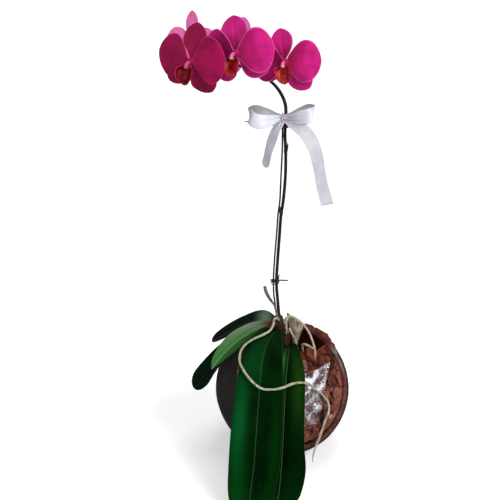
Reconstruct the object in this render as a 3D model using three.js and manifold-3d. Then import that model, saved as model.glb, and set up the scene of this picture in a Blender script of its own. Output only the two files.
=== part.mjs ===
// A potted moth orchid in a hollowed coconut-husk ball.
//
// The ball stands on a small flat foot and is open towards the front. It is filled
// with bark chips, with a clear crumpled film over part of the chips. A short stem
// (the crown) stands in the bark and carries five strap leaves, four aerial roots
// and one tall flower spike, which is tied to a thin stake. A white satin bow is
// tied round the spike below the arch of magenta blooms.
//
// Millimetres, +Z up, the front of the pot faces -Y. The origin is the centre of the foot.

import * as THREE from 'three';
import { mergeVertices } from 'three/addons/utils/BufferGeometryUtils.js';
import Module from 'manifold-3d';

const wasm = await Module();
wasm.setup();

// ---- driving dimensions ----

const GAP = 0.35;                 // air left between two pieces that meet

const POT_RADIUS = 92;            // outside of the ball
const POT_CENTRE_Z = 85;          // the flat foot is cut where the ball meets z = 0
const POT_FLOOR_Z = 8;            // top of the floor inside
const CAVITY_RADIUS = 86;         // inside of the ball
const CAVITY_SHIFT = 2;           // the inside is a little nearer the opening
const OPENING_TURN = 15;          // degrees that the opening is turned to the right
const OPENING_LIFT = 28;          // degrees that the opening is tipped up
const OPENING_HALF_ACROSS = 55.7; // half angle of the opening, side to side
const OPENING_HALF_UP = 69;       // half angle of the opening, bottom to top
const BALL_SEGMENTS = 32;
const BALL_RINGS = 13;

const BARK_FACE = 57;             // bark face from the ball's centre, along the opening's axis
const BARK_FACE_DOME = 492;       // twice the radius that the bark face bulges to
const BARK_TOP_Z = 146;           // ridge of the bark, beside the crown
const BARK_TOP_SLOPE = 0.5;       // how fast the bark falls away behind the ridge
const BARK_CHIPS = 24;

const LEAF_THICKNESS = 1.2;
const TEPAL_THICKNESS = 0.8;
const SPIKE_RADIUS = 2.0;
const STAKE_RADIUS = 1.1;
const TIE_RADIUS = 0.65;
const ROOT_RADIUS = 1.6;
const RIBBON_WIDTH = 18;
const RIBBON_THICKNESS = 0.8;
const FILM_THICKNESS = 0.8;

const UP = new THREE.Vector3(0, 0, 1);

// ---- small helpers ----

const vec = (x, y, z) => new THREE.Vector3(x, y, z);
const vecs = (rows) => rows.map(([x, y, z]) => vec(x, y, z));
const rad = THREE.MathUtils.degToRad;

// A repeatable stream of numbers from 0 to 1.
function seededRandom(seed) {
  let state = seed >>> 0;
  return () => {
    state = (state + 0x6d2b79f5) >>> 0;
    let t = state;
    t = Math.imul(t ^ (t >>> 15), t | 1);
    t ^= t + Math.imul(t ^ (t >>> 7), t | 61);
    return ((t ^ (t >>> 14)) >>> 0) / 4294967296;
  };
}

// Smooth value at t (0 to 1) along a list of equally spaced values.
function along(values, t) {
  const last = values.length - 1;
  const place = THREE.MathUtils.clamp(t, 0, 1) * last;
  const i = Math.min(Math.floor(place), last - 1);
  const f = place - i;
  const p0 = values[Math.max(i - 1, 0)];
  const p1 = values[i];
  const p2 = values[i + 1];
  const p3 = values[Math.min(i + 2, last)];
  const m1 = (p2 - p0) / 2;
  const m2 = (p3 - p1) / 2;
  const f2 = f * f;
  const f3 = f2 * f;
  return (2 * f3 - 3 * f2 + 1) * p1 + (f3 - 2 * f2 + f) * m1
    + (-2 * f3 + 3 * f2) * p2 + (f3 - f2) * m2;
}

// A closed mesh as a solid, with shared vertices merged and empty triangles left out.
function solidFrom(geometry) {
  const bare = new THREE.BufferGeometry();
  bare.setAttribute('position', geometry.getAttribute('position').clone());
  if (geometry.index) bare.setIndex(geometry.index.clone());
  const merged = mergeVertices(bare, 1e-4);
  const kept = [];
  const index = merged.index.array;
  for (let k = 0; k < index.length; k += 3) {
    const [a, b, c] = [index[k], index[k + 1], index[k + 2]];
    if (a !== b && b !== c && c !== a) kept.push(a, b, c);
  }
  return new wasm.Manifold(new wasm.Mesh({
    numProp: 3,
    vertProperties: new Float32Array(merged.getAttribute('position').array),
    triVerts: new Uint32Array(kept),
  }));
}

function geometryFrom(solid) {
  const mesh = solid.getMesh();
  const geometry = new THREE.BufferGeometry();
  geometry.setAttribute('position', new THREE.BufferAttribute(new Float32Array(mesh.vertProperties), 3));
  geometry.setIndex(new THREE.BufferAttribute(new Uint32Array(mesh.triVerts), 1));
  geometry.computeVertexNormals();
  return geometry;
}

const joined = (solids) => solids.reduce((whole, piece) => whole.add(piece));
const cutBy = (solid, cutters) => cutters.reduce((rest, cutter) => rest.subtract(cutter), solid);

// The biggest separate body of a solid, which drops crumbs left by a cut.
function biggestBody(solid) {
  const bodies = solid.decompose();
  return bodies.reduce((best, body) => (body.volume() > best.volume() ? body : best));
}

// A solid moved by a matrix before it is joined to others.
function placed(geometry, matrix) {
  return solidFrom(geometry.clone().applyMatrix4(matrix));
}

// Equal steps from low to high, both ends included.
function steps(count, low = 0, high = 1) {
  return Array.from({ length: count + 1 }, (_, i) => low + (high - low) * i / count);
}

// A closed solid between two grids of points that are split into triangles alike.
// The upper grid lies on the side that du x dv points to.
function slabSolid(upper, lower) {
  const rows = upper.length - 1;
  const columns = upper[0].length - 1;
  const at = (i, j) => i * (columns + 1) + j;
  const count = (rows + 1) * (columns + 1);
  const position = new Float32Array(count * 6);
  for (let i = 0; i <= rows; i++) {
    for (let j = 0; j <= columns; j++) {
      upper[i][j].toArray(position, at(i, j) * 3);
      lower[i][j].toArray(position, (count + at(i, j)) * 3);
    }
  }
  const index = [];
  const quad = (a, b, c, d) => index.push(a, b, c, a, c, d);
  for (let i = 0; i < rows; i++) {
    for (let j = 0; j < columns; j++) {
      quad(at(i, j), at(i + 1, j), at(i + 1, j + 1), at(i, j + 1));
      index.push(count + at(i, j), count + at(i + 1, j + 1), count + at(i + 1, j));
      index.push(count + at(i, j), count + at(i, j + 1), count + at(i + 1, j + 1));
    }
    quad(at(i, 0), count + at(i, 0), count + at(i + 1, 0), at(i + 1, 0));
    quad(at(i, columns), at(i + 1, columns), count + at(i + 1, columns), count + at(i, columns));
  }
  for (let j = 0; j < columns; j++) {
    quad(at(0, j), at(0, j + 1), count + at(0, j + 1), count + at(0, j));
    quad(at(rows, j), count + at(rows, j), count + at(rows, j + 1), at(rows, j + 1));
  }
  const geometry = new THREE.BufferGeometry();
  geometry.setAttribute('position', new THREE.BufferAttribute(position, 3));
  geometry.setIndex(index);
  return solidFrom(geometry);
}

// A thin sheet of even thickness about surface(u, v), u from 0 to 1 and v from -1 to 1.
function sheetSolid(surface, rows, columns, thickness) {
  const grid = steps(rows).map((u) => steps(columns, -1, 1).map((v) => surface(u, v)));
  const moved = (sign) => grid.map((row, i) => row.map((here, j) => {
    const du = grid[Math.min(i + 1, rows)][j].clone().sub(grid[Math.max(i - 1, 0)][j]);
    const dv = row[Math.min(j + 1, columns)].clone().sub(row[Math.max(j - 1, 0)]);
    return du.cross(dv).normalize().multiplyScalar(sign * thickness / 2).add(here);
  }));
  return slabSolid(moved(1), moved(-1));
}

// A sheet laid along a curve: half widths, directions across and edge lift follow the curve.
function strapSurface({ points, halfWidths, across, lift = [0], ripple = () => 0 }) {
  const curve = new THREE.CatmullRomCurve3(vecs(points), false, 'centripetal');
  const lifts = lift.length > 1 ? lift : [lift[0], lift[0]];
  return (u, v) => {
    const centre = curve.getPoint(u);
    const tangent = curve.getTangent(u);
    const side = vec(...[0, 1, 2].map((k) => along(across.map((row) => row[k]), u)));
    side.addScaledVector(tangent, -side.dot(tangent)).normalize();
    const normal = tangent.clone().cross(side);
    return centre
      .addScaledVector(side, v * along(halfWidths, u))
      .addScaledVector(normal, along(lifts, u) * Math.abs(v) ** 1.5 + ripple(u, v));
  };
}

// A round stem along a curve, closed at both ends, with a radius for each point.
function stemSolid(points, radii, sides, steps) {
  const curve = new THREE.CatmullRomCurve3(vecs(points), false, 'centripetal');
  const position = [];
  let normal = null;
  for (let i = 0; i <= steps; i++) {
    const t = i / steps;
    const tangent = curve.getTangent(t);
    if (!normal) normal = Math.abs(tangent.z) < 0.9 ? UP.clone() : vec(1, 0, 0);
    normal.addScaledVector(tangent, -normal.dot(tangent)).normalize();
    const binormal = tangent.clone().cross(normal);
    const centre = curve.getPoint(t);
    const radius = along(radii, t);
    for (let k = 0; k < sides; k++) {
      const angle = k / sides * Math.PI * 2;
      const rim = centre.clone()
        .addScaledVector(normal, Math.cos(angle) * radius)
        .addScaledVector(binormal, Math.sin(angle) * radius);
      position.push(rim.x, rim.y, rim.z);
    }
  }
  position.push(...curve.getPoint(0).toArray(), ...curve.getPoint(1).toArray());
  const first = (steps + 1) * sides;
  const index = [];
  for (let k = 0; k < sides; k++) {
    const next = (k + 1) % sides;
    for (let i = 0; i < steps; i++) {
      const [a, b] = [i * sides + k, i * sides + next];
      index.push(a, b, b + sides, a, b + sides, a + sides);
    }
    index.push(first, next, k);
    index.push(first + 1, steps * sides + k, steps * sides + next);
  }
  const geometry = new THREE.BufferGeometry();
  geometry.setAttribute('position', new THREE.BufferAttribute(new Float32Array(position), 3));
  geometry.setIndex(index);
  return solidFrom(geometry);
}

// ---- the opening's own frame ----

const openingTurn = new THREE.Matrix4().makeRotationZ(rad(OPENING_TURN))
  .multiply(new THREE.Matrix4().makeRotationX(rad(-OPENING_LIFT)));
const openingFrame = new THREE.Matrix4().makeTranslation(0, 0, POT_CENTRE_Z).multiply(openingTurn);

// A point in the ball: u to the right, v up the face, w out of the opening.
const inBall = (u, v, w) => vec(u, -w, v).applyMatrix4(openingFrame);

// Height of the bark face over the ball's centre plane.
const barkFace = (u, v) => BARK_FACE - (u * u + v * v) / BARK_FACE_DOME;

// A full ball about a point on the opening's axis, turned so its pole faces out.
function ballSolid(radius, shift) {
  const profile = [];
  for (let i = 0; i <= BALL_RINGS; i++) {
    const angle = -Math.PI / 2 + Math.PI * i / BALL_RINGS;
    const across = i === 0 || i === BALL_RINGS ? 0 : Math.cos(angle) * radius;
    profile.push(new THREE.Vector2(across, Math.sin(angle) * radius + shift));
  }
  const lathe = new THREE.LatheGeometry(profile, BALL_SEGMENTS);
  lathe.rotateX(Math.PI);
  return placed(lathe, openingFrame);
}

function boxSolid(sizeX, sizeY, sizeZ, x, y, z) {
  return solidFrom(new THREE.BoxGeometry(sizeX, sizeY, sizeZ).translate(x, y, z));
}

// ---- pot ----

function openingCutter() {
  const reach = 110;
  const cone = new THREE.ConeGeometry(1, reach, 40);
  cone.translate(0, -reach / 2, 0);
  cone.scale(reach * Math.tan(rad(OPENING_HALF_ACROSS)), 1, reach * Math.tan(rad(OPENING_HALF_UP)));
  return placed(cone, openingFrame);
}

function huskPot() {
  const below = boxSolid(240, 240, 40, 0, 0, -20);
  const floor = boxSolid(240, 240, 60, 0, 0, POT_FLOOR_Z - 30);
  const hollow = ballSolid(CAVITY_RADIUS, CAVITY_SHIFT).subtract(floor);
  return biggestBody(cutBy(ballSolid(POT_RADIUS, 0), [below, hollow, openingCutter()]));
}

// ---- crown with the old spike's stub ----

const CROWN_POINTS = [[2, -19, 112], [1.5, -19.5, 135], [0.5, -20, 156], [-0.8, -20, 171], [-3.6, -19.4, 185],
  [-6.2, -18.2, 199]];
const CROWN_RADII = [7, 8.5, 9, 8.4, 6.4, 3.9];
const STUB_POINTS = [[-7.5, -19.6, 192], [-9.6, -20.8, 203], [-12.5, -21.2, 213], [-19.6, -21, 224],
  [-23.5, -21, 232], [-25.6, -21, 240]];
const STUB_RADII = [1.6, 1.6, 1.4, 1.9, 2.3, 2.0];
const SHEATH_SLANT = 0.12;
const SPIKE_SOCKET = [[-5.2, -18.6, 190], [-6.2, -18.1, 199], [-6.7, -17, 206]];

// The crown's round body; a grown one, also a little longer, is the room it takes in others.
function crownBody(grow = 0) {
  const [[x, y, z], ...rest] = CROWN_POINTS;
  return stemSolid([[x, y, z - grow], ...rest], CROWN_RADII.map((r) => r + grow), 10, 10);
}

function crown() {
  const stub = stemSolid(STUB_POINTS, STUB_RADII, 5, 8);
  const socket = stemSolid(SPIKE_SOCKET, [2.45, 2.45, 2.45], 6, 2);
  return biggestBody(crownBody().add(stub).subtract(socket));
}

// Its top is torn off at a slant, shorter on the right.
function drySheath() {
  const strap = strapSurface({
    points: [[18, -10, 134], [17, -11, 155], [17, -13.5, 177], [15.6, -17, 202]],
    halfWidths: [2.2, 3, 9, 12],
    across: [[0.95, 0.3, 0], [0.95, 0.1, -0.1], [0.93, -0.1, -0.3], [0.9, -0.12, -0.4]],
    lift: [1, 1.5, 2, 1],
  });
  const surface = (u, v) => strap(u * (1 - SHEATH_SLANT * (1 + v)), v);
  return biggestBody(sheetSolid(surface, 6, 4, 0.9).subtract(crownBody(GAP)));
}

// ---- leaves ----

const LEAVES = {
  leaf_front: {
    points: [[-4, -24, 177], [-13, -38, 181], [-22, -54, 175], [-28.5, -73, 160], [-32, -91, 138],
      [-35, -110, 105], [-37.5, -125, 77], [-40, -139, 48], [-43.5, -151, 25], [-46, -162, 11],
      [-48, -174, 4.2], [-49.5, -187, 1.4]],
    halfWidths: [6, 13, 20.5, 25.5, 29, 31, 31.5, 31, 28.5, 24, 16, 2],
    across: [[0.9, -0.35, -0.1], [0.98, -0.15, -0.1], [1, 0, 0], [1, 0, 0], [1, 0.05, 0], [1, 0.12, 0]],
    lift: [3, 4, 4.5, 4, 3, 2.5, 1],
    rows: 15,
  },
  leaf_front_right: {
    points: [[4, -26, 159], [6.5, -38, 161], [4.5, -54, 152], [2, -69, 138], [0, -84, 118],
      [-2, -102, 91], [-4, -117, 64], [-6, -130, 38], [-9, -143, 14.5], [-11.5, -153, 5.2],
      [-13.5, -165, 1.3]],
    halfWidths: [6, 11, 18, 23.5, 25, 25.5, 27, 30, 26, 17, 2],
    across: [[0.95, 0.3, 0], [1, 0.05, 0], [1, 0, 0], [1, 0, 0], [1, 0.08, 0]],
    lift: [3, 3, 2.5, 2.5, 2, 1],
    rows: 13,
  },
  leaf_left_pale: {
    points: [[-8, -21, 184], [-17, -24, 187.5], [-29, -27, 186], [-43, -31, 181], [-63, -37, 169.5],
      [-80, -42, 153.5], [-89, -45, 143], [-95, -46.5, 133.5]],
    halfWidths: [4.5, 6.5, 9.5, 12.5, 13.8, 10.5, 6.5, 1],
    across: [[0, -0.8, 0.5], [-0.3, -0.5, 0.75], [-0.5, -0.2, 0.84], [-0.6, -0.15, 0.8]],
    lift: [2, 2, 2.5, 2, 1],
    rows: 11,
  },
  leaf_left_high: {
    points: [[-9, -17, 187], [-15, -16, 191], [-23, -14, 193], [-32, -12, 192], [-44, -9, 187.5],
      [-61, -5, 178.5], [-79, 0, 166], [-97, 4, 152.5]],
    halfWidths: [4.5, 7.5, 11, 13.5, 14, 14, 13, 9],
    across: [[0.1, -0.95, -0.3], [0.1, -0.9, -0.4], [0, -0.95, -0.3], [0, -0.95, -0.28],
      [0.1, -0.97, -0.2]],
    lift: [2, 2.5, 2, 1.5, 1],
    rows: 11,
  },
  leaf_left_low: {
    points: [[-8, -20, 162], [-22, -17, 169.3], [-42, -12.5, 169], [-62, -10.5, 159.5], [-84, -12, 139.5],
      [-101, -14, 119], [-112, -16.5, 104], [-119.5, -19, 90.5]],
    halfWidths: [5, 7.5, 10, 12.5, 13.5, 13.8, 13, 7],
    across: [[0.1, -1, 0], [0.1, -0.95, -0.1], [0.45, -0.7, -0.35], [0.72, -0.4, -0.52]],
    lift: [2, 2.5, 2, 1.5, 1],
    rows: 11,
  },
};

function leaf(name) {
  const spec = LEAVES[name];
  const blade = sheetSolid(strapSurface(spec), spec.rows, 4, LEAF_THICKNESS);
  return biggestBody(blade.subtract(crownBody(GAP)));
}

// ---- spike, stake and ties ----

const SPIKE_POINTS = [[-5.4, -18.5, 191.5], [-6.3, -18, 200], [-7.3, -15.6, 211], [-9.3, -14, 232],
  [-9.9, -14, 246], [-8.8, -14, 271], [-6.6, -14, 307], [-5, -14, 333], [-2.4, -14, 352],
  [-0.2, -14, 382], [-0.1, -14, 412], [-1.3, -14, 435], [-1.2, -14, 451], [-0.6, -14, 465],
  [-1.8, -13.6, 473.5], [-5.7, -12.6, 483], [-12.2, -11.4, 492.5], [-19.2, -10, 499.2],
  [-30, -10, 506.8], [-45, -12.5, 514], [-64, -17.5, 519.5], [-88, -25, 520.5], [-106, -33, 517.5],
  [-116, -38, 513.5]];
const SPIKE_TAPER = [1, 1, 1, 1, 1, 1, 1, 1, 1, 1, 1, 1, 1, 1.05, 1.05, 1.05, 1, 0.95, 0.9, 0.9, 0.85, 0.8,
  0.7, 0.45];
const STAKE_POINTS = [[-4, -4, 118], [-4.4, -4.4, 150], [-5.6, -4.8, 172], [-7.6, -6.2, 190],
  [-10.4, -10.4, 207],
  [-13.2, -13.6, 226], [-13.9, -14, 245], [-12.7, -14, 275], [-10.6, -14, 305], [-8.9, -14.6, 333],
  [-6.8, -15, 352], [-5.7, -14.6, 382], [-4.7, -15.4, 412], [-4.6, -17.2, 435], [-4.8, -17.4, 449],
  [-4.8, -17.6, 462]];

// Each bloom: its centre, size, and how far it is turned left, tipped down and leaned right.
// Each sepal and petal: its angle from upright, its length and its half width.
const BLOOMS = {
  bloom_left: {
    centre: [-111.5, -82, 523], scale: 0.97, turn: 17, tip: 8, lean: 11, joint: [-104, -32, 518],
    dorsal: [0, 43, 13.8], petals: [[-84, 44, 25], [76, 40, 27]],
    laterals: [[-134, 41, 13], [141, 41.5, 15.5]], detail: 1,
  },
  bloom_middle: {
    centre: [-61.5, -64, 532], scale: 1.04, turn: 21, tip: 5, lean: -1, joint: [-66, -18, 519.7],
    dorsal: [-8, 40, 15.8], petals: [[-84, 43, 24], [83, 42, 24.5]],
    laterals: [[-140, 38, 13], [122, 38, 16]], detail: 1,
  },
  bloom_right: {
    centre: [-5, -50, 522.5], scale: 0.97, turn: 14, tip: 5, lean: -7, joint: [-27, -9.9, 505],
    dorsal: [-5, 39, 13.8], petals: [[-84, 43, 24], [96, 43, 25]],
    laterals: [[-112, 38, 13], [146, 43, 15]], detail: 1,
  },
  bloom_back_left: {
    centre: [-116.5, 20, 541], scale: 0.97, turn: 157, tip: 4, lean: 4, joint: [-97, -29, 519.2],
    dorsal: [0, 42, 8.5], petals: [[-84, 34, 19], [74, 38, 19]],
    laterals: [[-138, 36, 13], [138, 36, 13]], detail: 0,
  },
  bloom_back_middle: {
    centre: [-56, 22, 536.5], scale: 0.92, turn: 158, tip: 4, lean: 2, joint: [-49, -13.5, 515.4],
    dorsal: [0, 41, 12.5], petals: [[-84, 43, 24], [84, 43, 24]],
    laterals: [[-138, 38, 13], [138, 38, 13]], detail: 0,
  },
};
const HUB_BACK = 5.5;             // from a bloom's centre to the back of its hub

function bloomMatrix({ centre, turn, tip, lean, scale }) {
  return new THREE.Matrix4().makeTranslation(...centre)
    .multiply(new THREE.Matrix4().makeRotationZ(rad(-turn)))
    .multiply(new THREE.Matrix4().makeRotationX(rad(90 + tip)))
    .multiply(new THREE.Matrix4().makeRotationZ(rad(-lean)))
    .multiply(new THREE.Matrix4().makeScale(scale, scale, scale));
}

// A flower stalk from the spike to just behind a bloom's hub, with a small bract at its foot.
function stalkSolid(spec) {
  const matrix = bloomMatrix(spec);
  const end = vec(0, 0, -HUB_BACK - GAP / spec.scale).applyMatrix4(matrix);
  const lead = vec(0, -1.5, -HUB_BACK - 11).applyMatrix4(matrix);
  const start = vec(...spec.joint);
  const middle = start.clone().lerp(lead, 0.5).add(vec(0, 0, 3));
  const rows = [start, middle, lead, end].map((p) => p.toArray());
  const stalk = stemSolid(rows, [1.4, 1.4, 1.5, 1.9], 5, 6);
  const away = middle.clone().sub(start).normalize();
  const bractTip = start.clone().addScaledVector(away, 5).add(vec(0, 0, 3.4));
  const bractRows = [start, start.clone().lerp(bractTip, 0.5), bractTip].map((p) => p.toArray());
  const bract = stemSolid(bractRows, [2.3, 2.2, 0.5], 5, 2);
  return stalk.add(bract);
}

function spike() {
  const stem = stemSolid(SPIKE_POINTS, SPIKE_TAPER.map((share) => share * SPIKE_RADIUS), 6, 46);
  const tipBud = stemSolid(
    [[-112, -36, 515.5], [-118, -39, 512.3], [-122, -41, 508.5]], [1.4, 3, 0.8], 6, 3);
  return joined([stem, tipBud, ...Object.values(BLOOMS).map(stalkSolid)]);
}

const stake = () => stemSolid(STAKE_POINTS, [STAKE_RADIUS, STAKE_RADIUS], 5, 26);

// Two turns of wire round the spike and the stake, with a loose end.
function tieSolid({ centre, radiusX, radiusY, height, tail, lead }) {
  const rows = [];
  if (lead) rows.push(...lead);
  const turns = 2;
  const perTurn = 8;
  for (let i = 0; i <= turns * perTurn; i++) {
    const angle = Math.PI + i / perTurn * Math.PI * 2;
    const rise = (i / (turns * perTurn) - 0.5) * height;
    const [x, y] = [Math.cos(angle) * radiusX, Math.sin(angle) * radiusY];
    rows.push([centre[0] + x, centre[1] + y, centre[2] + rise]);
  }
  rows.push(...tail);
  return stemSolid(rows, [TIE_RADIUS, TIE_RADIUS], 4, rows.length - 1);
}

const lowerTie = () => tieSolid({
  centre: [-11.9, -14, 243.5], radiusX: 5.3, radiusY: 3.9, height: 5,
  tail: [[-12, -19.5, 247.5], [-3, -21, 248], [5.6, -20.5, 247.5]],
});
const upperTie = () => tieSolid({
  centre: [-3, -15.4, 446], radiusX: 5.4, radiusY: 5.8, height: 4.6,
  lead: [[-52.5, -12, 451.5], [-34, -9, 450], [-17, -9.5, 447]],
  tail: [[-6.6, -21, 448.9], [-2, -23, 449], [4, -22, 449], [8.4, -20, 448.5]],
});

// ---- aerial roots ----

const ROOTS = {
  root_long: {
    points: [[-5.5, -22, 190], [-9, -25, 197], [-12.5, -29.5, 197], [-14.5, -34, 190.5],
      [-18.5, -39.5, 185.5], [-27, -48, 183.5], [-43, -60, 180.5], [-51.5, -68, 176.8], [-56.5, -75, 171],
      [-57.5, -84, 162], [-51, -92.5, 151.5], [-42, -98.5, 142], [-30.7, -103.5, 135.2], [-18, -104.5, 134],
      [-4.5, -102.5, 135.5], [9.8, -95.5, 138], [26, -82, 131.5], [34, -65, 120], [38.5, -53, 109.5],
      [46, -49, 102.5], [53, -49.5, 96], [58.5, -53.5, 88.5], [59, -59, 79.5], [54.5, -64.5, 70.5],
      [50.5, -69, 60], [46.5, -73, 50], [41.5, -76.5, 38], [37.8, -82, 27.5], [37, -85, 20]],
    radii: [1.9, 1.8, 1.7, 1.6, 1.6, 1.6, 1.6, 1.6, 1.6, 1.6, 1.7, 1.8, 1.7, 0.6], sides: 5, steps: 42,
  },
  root_arching: {
    points: [[0, -21.5, 187], [3, -22.5, 196], [9, -24, 199], [16, -26, 197], [24, -29.5, 191.5],
      [30, -32.5, 184.5], [35, -35, 175.5], [38.5, -36.5, 165.5], [41, -36, 154], [41.5, -34, 142]],
    radii: [1.8, 1.6, 1.5, 1.5, 1.5, 1.5, 1.3], sides: 5, steps: 14,
    side: {
      points: [[4.5, -22.6, 196.5], [3, -30, 192.5], [3.2, -32, 184], [3.4, -32.5, 176.5]],
      radii: [1.3, 1.4, 1.4, 0.8], steps: 5,
    },
  },
  root_slant: {
    points: [[6, -24.5, 176], [7.5, -29.5, 184], [9.5, -32.5, 180], [14, -31.5, 171], [16.5, -28.5, 160],
      [16, -25.5, 147]],
    radii: [1.6, 1.5, 1.5, 1.5, 1.4], sides: 5, steps: 8,
  },
  root_stub: {
    points: [[27, -14, 138], [26, -18, 150], [25.5, -25, 158.5], [29, -31.5, 162], [38.5, -39.5, 160]],
    radii: [1.9, 2, 2, 1.9, 1.2], sides: 6, steps: 7,
  },
};

function root(name) {
  const { points, radii, sides, steps, side } = ROOTS[name];
  const main = stemSolid(points, radii, sides, steps);
  const whole = side ? main.add(stemSolid(side.points, side.radii, 5, side.steps)) : main;
  return biggestBody(whole.subtract(crownBody(GAP)));
}

// ---- bark and film ----

// The film lies over the lower right of the bark face; u and v are on that face.
function filmPlace(s, t) {
  const right = along([30, 36, 42, 44, 50, 57], t);
  const u = THREE.MathUtils.lerp(-14, right, s);
  const v = THREE.MathUtils.lerp(-58 + 6 * s, 10 + 15 * s * s, t);
  return [u, v];
}

const FILM_LIFT = 2.4;
const filmRipple = (s, t) => 1.3 * Math.sin(9 * s + 5 * t) * Math.cos(11 * t - 3 * s);

// A point s across and t up the film, raised over the bark face.
function filmPoint(s, t, raised) {
  const [u, v] = filmPlace(s, t);
  return inBall(u, v, barkFace(u, v) + FILM_LIFT + filmRipple(s, t) + raised);
}

const FILM_GRID = [steps(6), steps(9)];

function linerFilm() {
  const layer = (raised) => FILM_GRID[0].map((s) => FILM_GRID[1].map((t) => filmPoint(s, t, raised)));
  return slabSolid(layer(FILM_THICKNESS / 2), layer(-FILM_THICKNESS / 2));
}

// The room that the film takes over the bark, a little wider than the film all round.
function filmPocket() {
  const [across, up] = FILM_GRID.map((list) => [-0.03, ...list, 1.03]);
  const layer = (raised) => across.map((s) => up.map((t) => filmPoint(s, t, raised)));
  return slabSolid(layer(24), layer(-FILM_THICKNESS / 2 - GAP));
}

function barkChip(random) {
  const reach = Math.sqrt(random()) * 0.86;
  const angle = random() * Math.PI * 2;
  const u = Math.cos(angle) * reach * 70;
  const v = Math.sin(angle) * reach * 76;
  const size = 17 + random() * 12;
  const box = new THREE.BoxGeometry(size, size * (0.5 + random() * 0.3), 7 + random() * 3);
  const spot = box.getAttribute('position');
  const corners = new Map();
  for (let k = 0; k < spot.count; k++) {
    const key = [spot.getX(k), spot.getY(k), spot.getZ(k)].map((c) => Math.sign(c)).join();
    if (!corners.has(key)) corners.set(key, [random() - 0.5, random() - 0.5, random() - 0.5]);
    const [dx, dy, dz] = corners.get(key);
    spot.setXYZ(k, spot.getX(k) + dx * 5, spot.getY(k) + dy * 4, spot.getZ(k) + dz * 3);
  }
  const w = barkFace(u, v) - 2.6 + random() * 3.4;
  const tilt = () => (random() - 0.5) * 0.5;
  const turn = new THREE.Euler(Math.PI / 2 + tilt(), random() * Math.PI, tilt());
  const local = new THREE.Matrix4().makeTranslation(u, -w, v)
    .multiply(new THREE.Matrix4().makeRotationFromEuler(turn));
  return placed(box, openingFrame.clone().multiply(local));
}

function barkBody() {
  const below = boxSolid(240, 240, 60, 0, 0, POT_FLOOR_Z + GAP - 30);
  const inside = ballSolid(CAVITY_RADIUS - GAP - 0.05, CAVITY_SHIFT).subtract(below);
  const span = steps(6, -100, 100);
  const layer = (raised) => span.map((u) => span.map((v) => inBall(u, v, barkFace(u, v) + raised)));
  const face = slabSolid(layer(120), layer(0));
  const random = seededRandom(5);
  const chips = [];
  for (let k = 0; k < BARK_CHIPS; k++) chips.push(barkChip(random));
  const fill = cutBy(inside, [face, ...barkTop(0)]);
  const loose = cutBy(joined(chips), barkTop(3.5));
  return fill.add(loose).intersect(ballSolid(POT_RADIUS - 7.5, 0));
}

// Everything above the bark's ridge: level in front of the crown, falling away behind it.
function barkTop(raised) {
  const behind = new THREE.BoxGeometry(260, 200, 100);
  behind.translate(0, 60, 50);
  behind.rotateX(-Math.atan(BARK_TOP_SLOPE));
  behind.translate(0, -20, BARK_TOP_Z + raised);
  const ahead = boxSolid(260, 200, 100, 0, -119.9, 50 + BARK_TOP_Z + raised);
  return [solidFrom(behind), ahead];
}

// A plain hole for something of this radius that runs through these points.
function plainHole(points, radius) {
  const [first, second] = vecs(points);
  const before = first.clone().add(first.clone().sub(second).normalize().multiplyScalar(1.5));
  const wide = radius + GAP + 0.3;
  return stemSolid([before.toArray(), ...points], [wide, wide], 6, points.length * 2);
}

function bark() {
  const holes = [
    crownBody(GAP + 0.1),
    plainHole(STAKE_POINTS.slice(0, 3), STAKE_RADIUS),
    plainHole(ROOTS.root_arching.points.slice(-4), 1.5),
    plainHole(ROOTS.root_slant.points.slice(-3), 1.5),
    plainHole(ROOTS.root_stub.points.slice(0, 2), 2),
    plainHole(ROOTS.root_long.points.slice(-10, -3), ROOT_RADIUS),
    sheetSolid(strapSurface({
      points: [[18.3, -9.8, 130], [18, -10, 134], [17, -11, 155]],
      halfWidths: [3.2, 3.2, 4],
      across: [[0.95, 0.3, 0], [0.95, 0.3, 0], [0.95, 0.1, -0.1]],
      lift: [1, 1, 1.5],
    }), 3, 4, 2.6),
    filmPocket(),
  ];
  return biggestBody(cutBy(barkBody(), holes));
}

// ---- satin bow ----

const KNOT = [-3.9, -23.5, 456.5];
const BOW_RING = { x: -2.4, y: -15.6, z: 455.5, across: 5.2, deep: 5.8 };

function ribbonBand(points, halfWidths, across, rows) {
  const moved = points.map(([x, y, z]) => [KNOT[0] + x, KNOT[1] + y, KNOT[2] + z]);
  const surface = strapSurface({ points: moved, halfWidths, across, lift: [0] });
  return sheetSolid(surface, rows, 2, RIBBON_THICKNESS);
}

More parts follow.
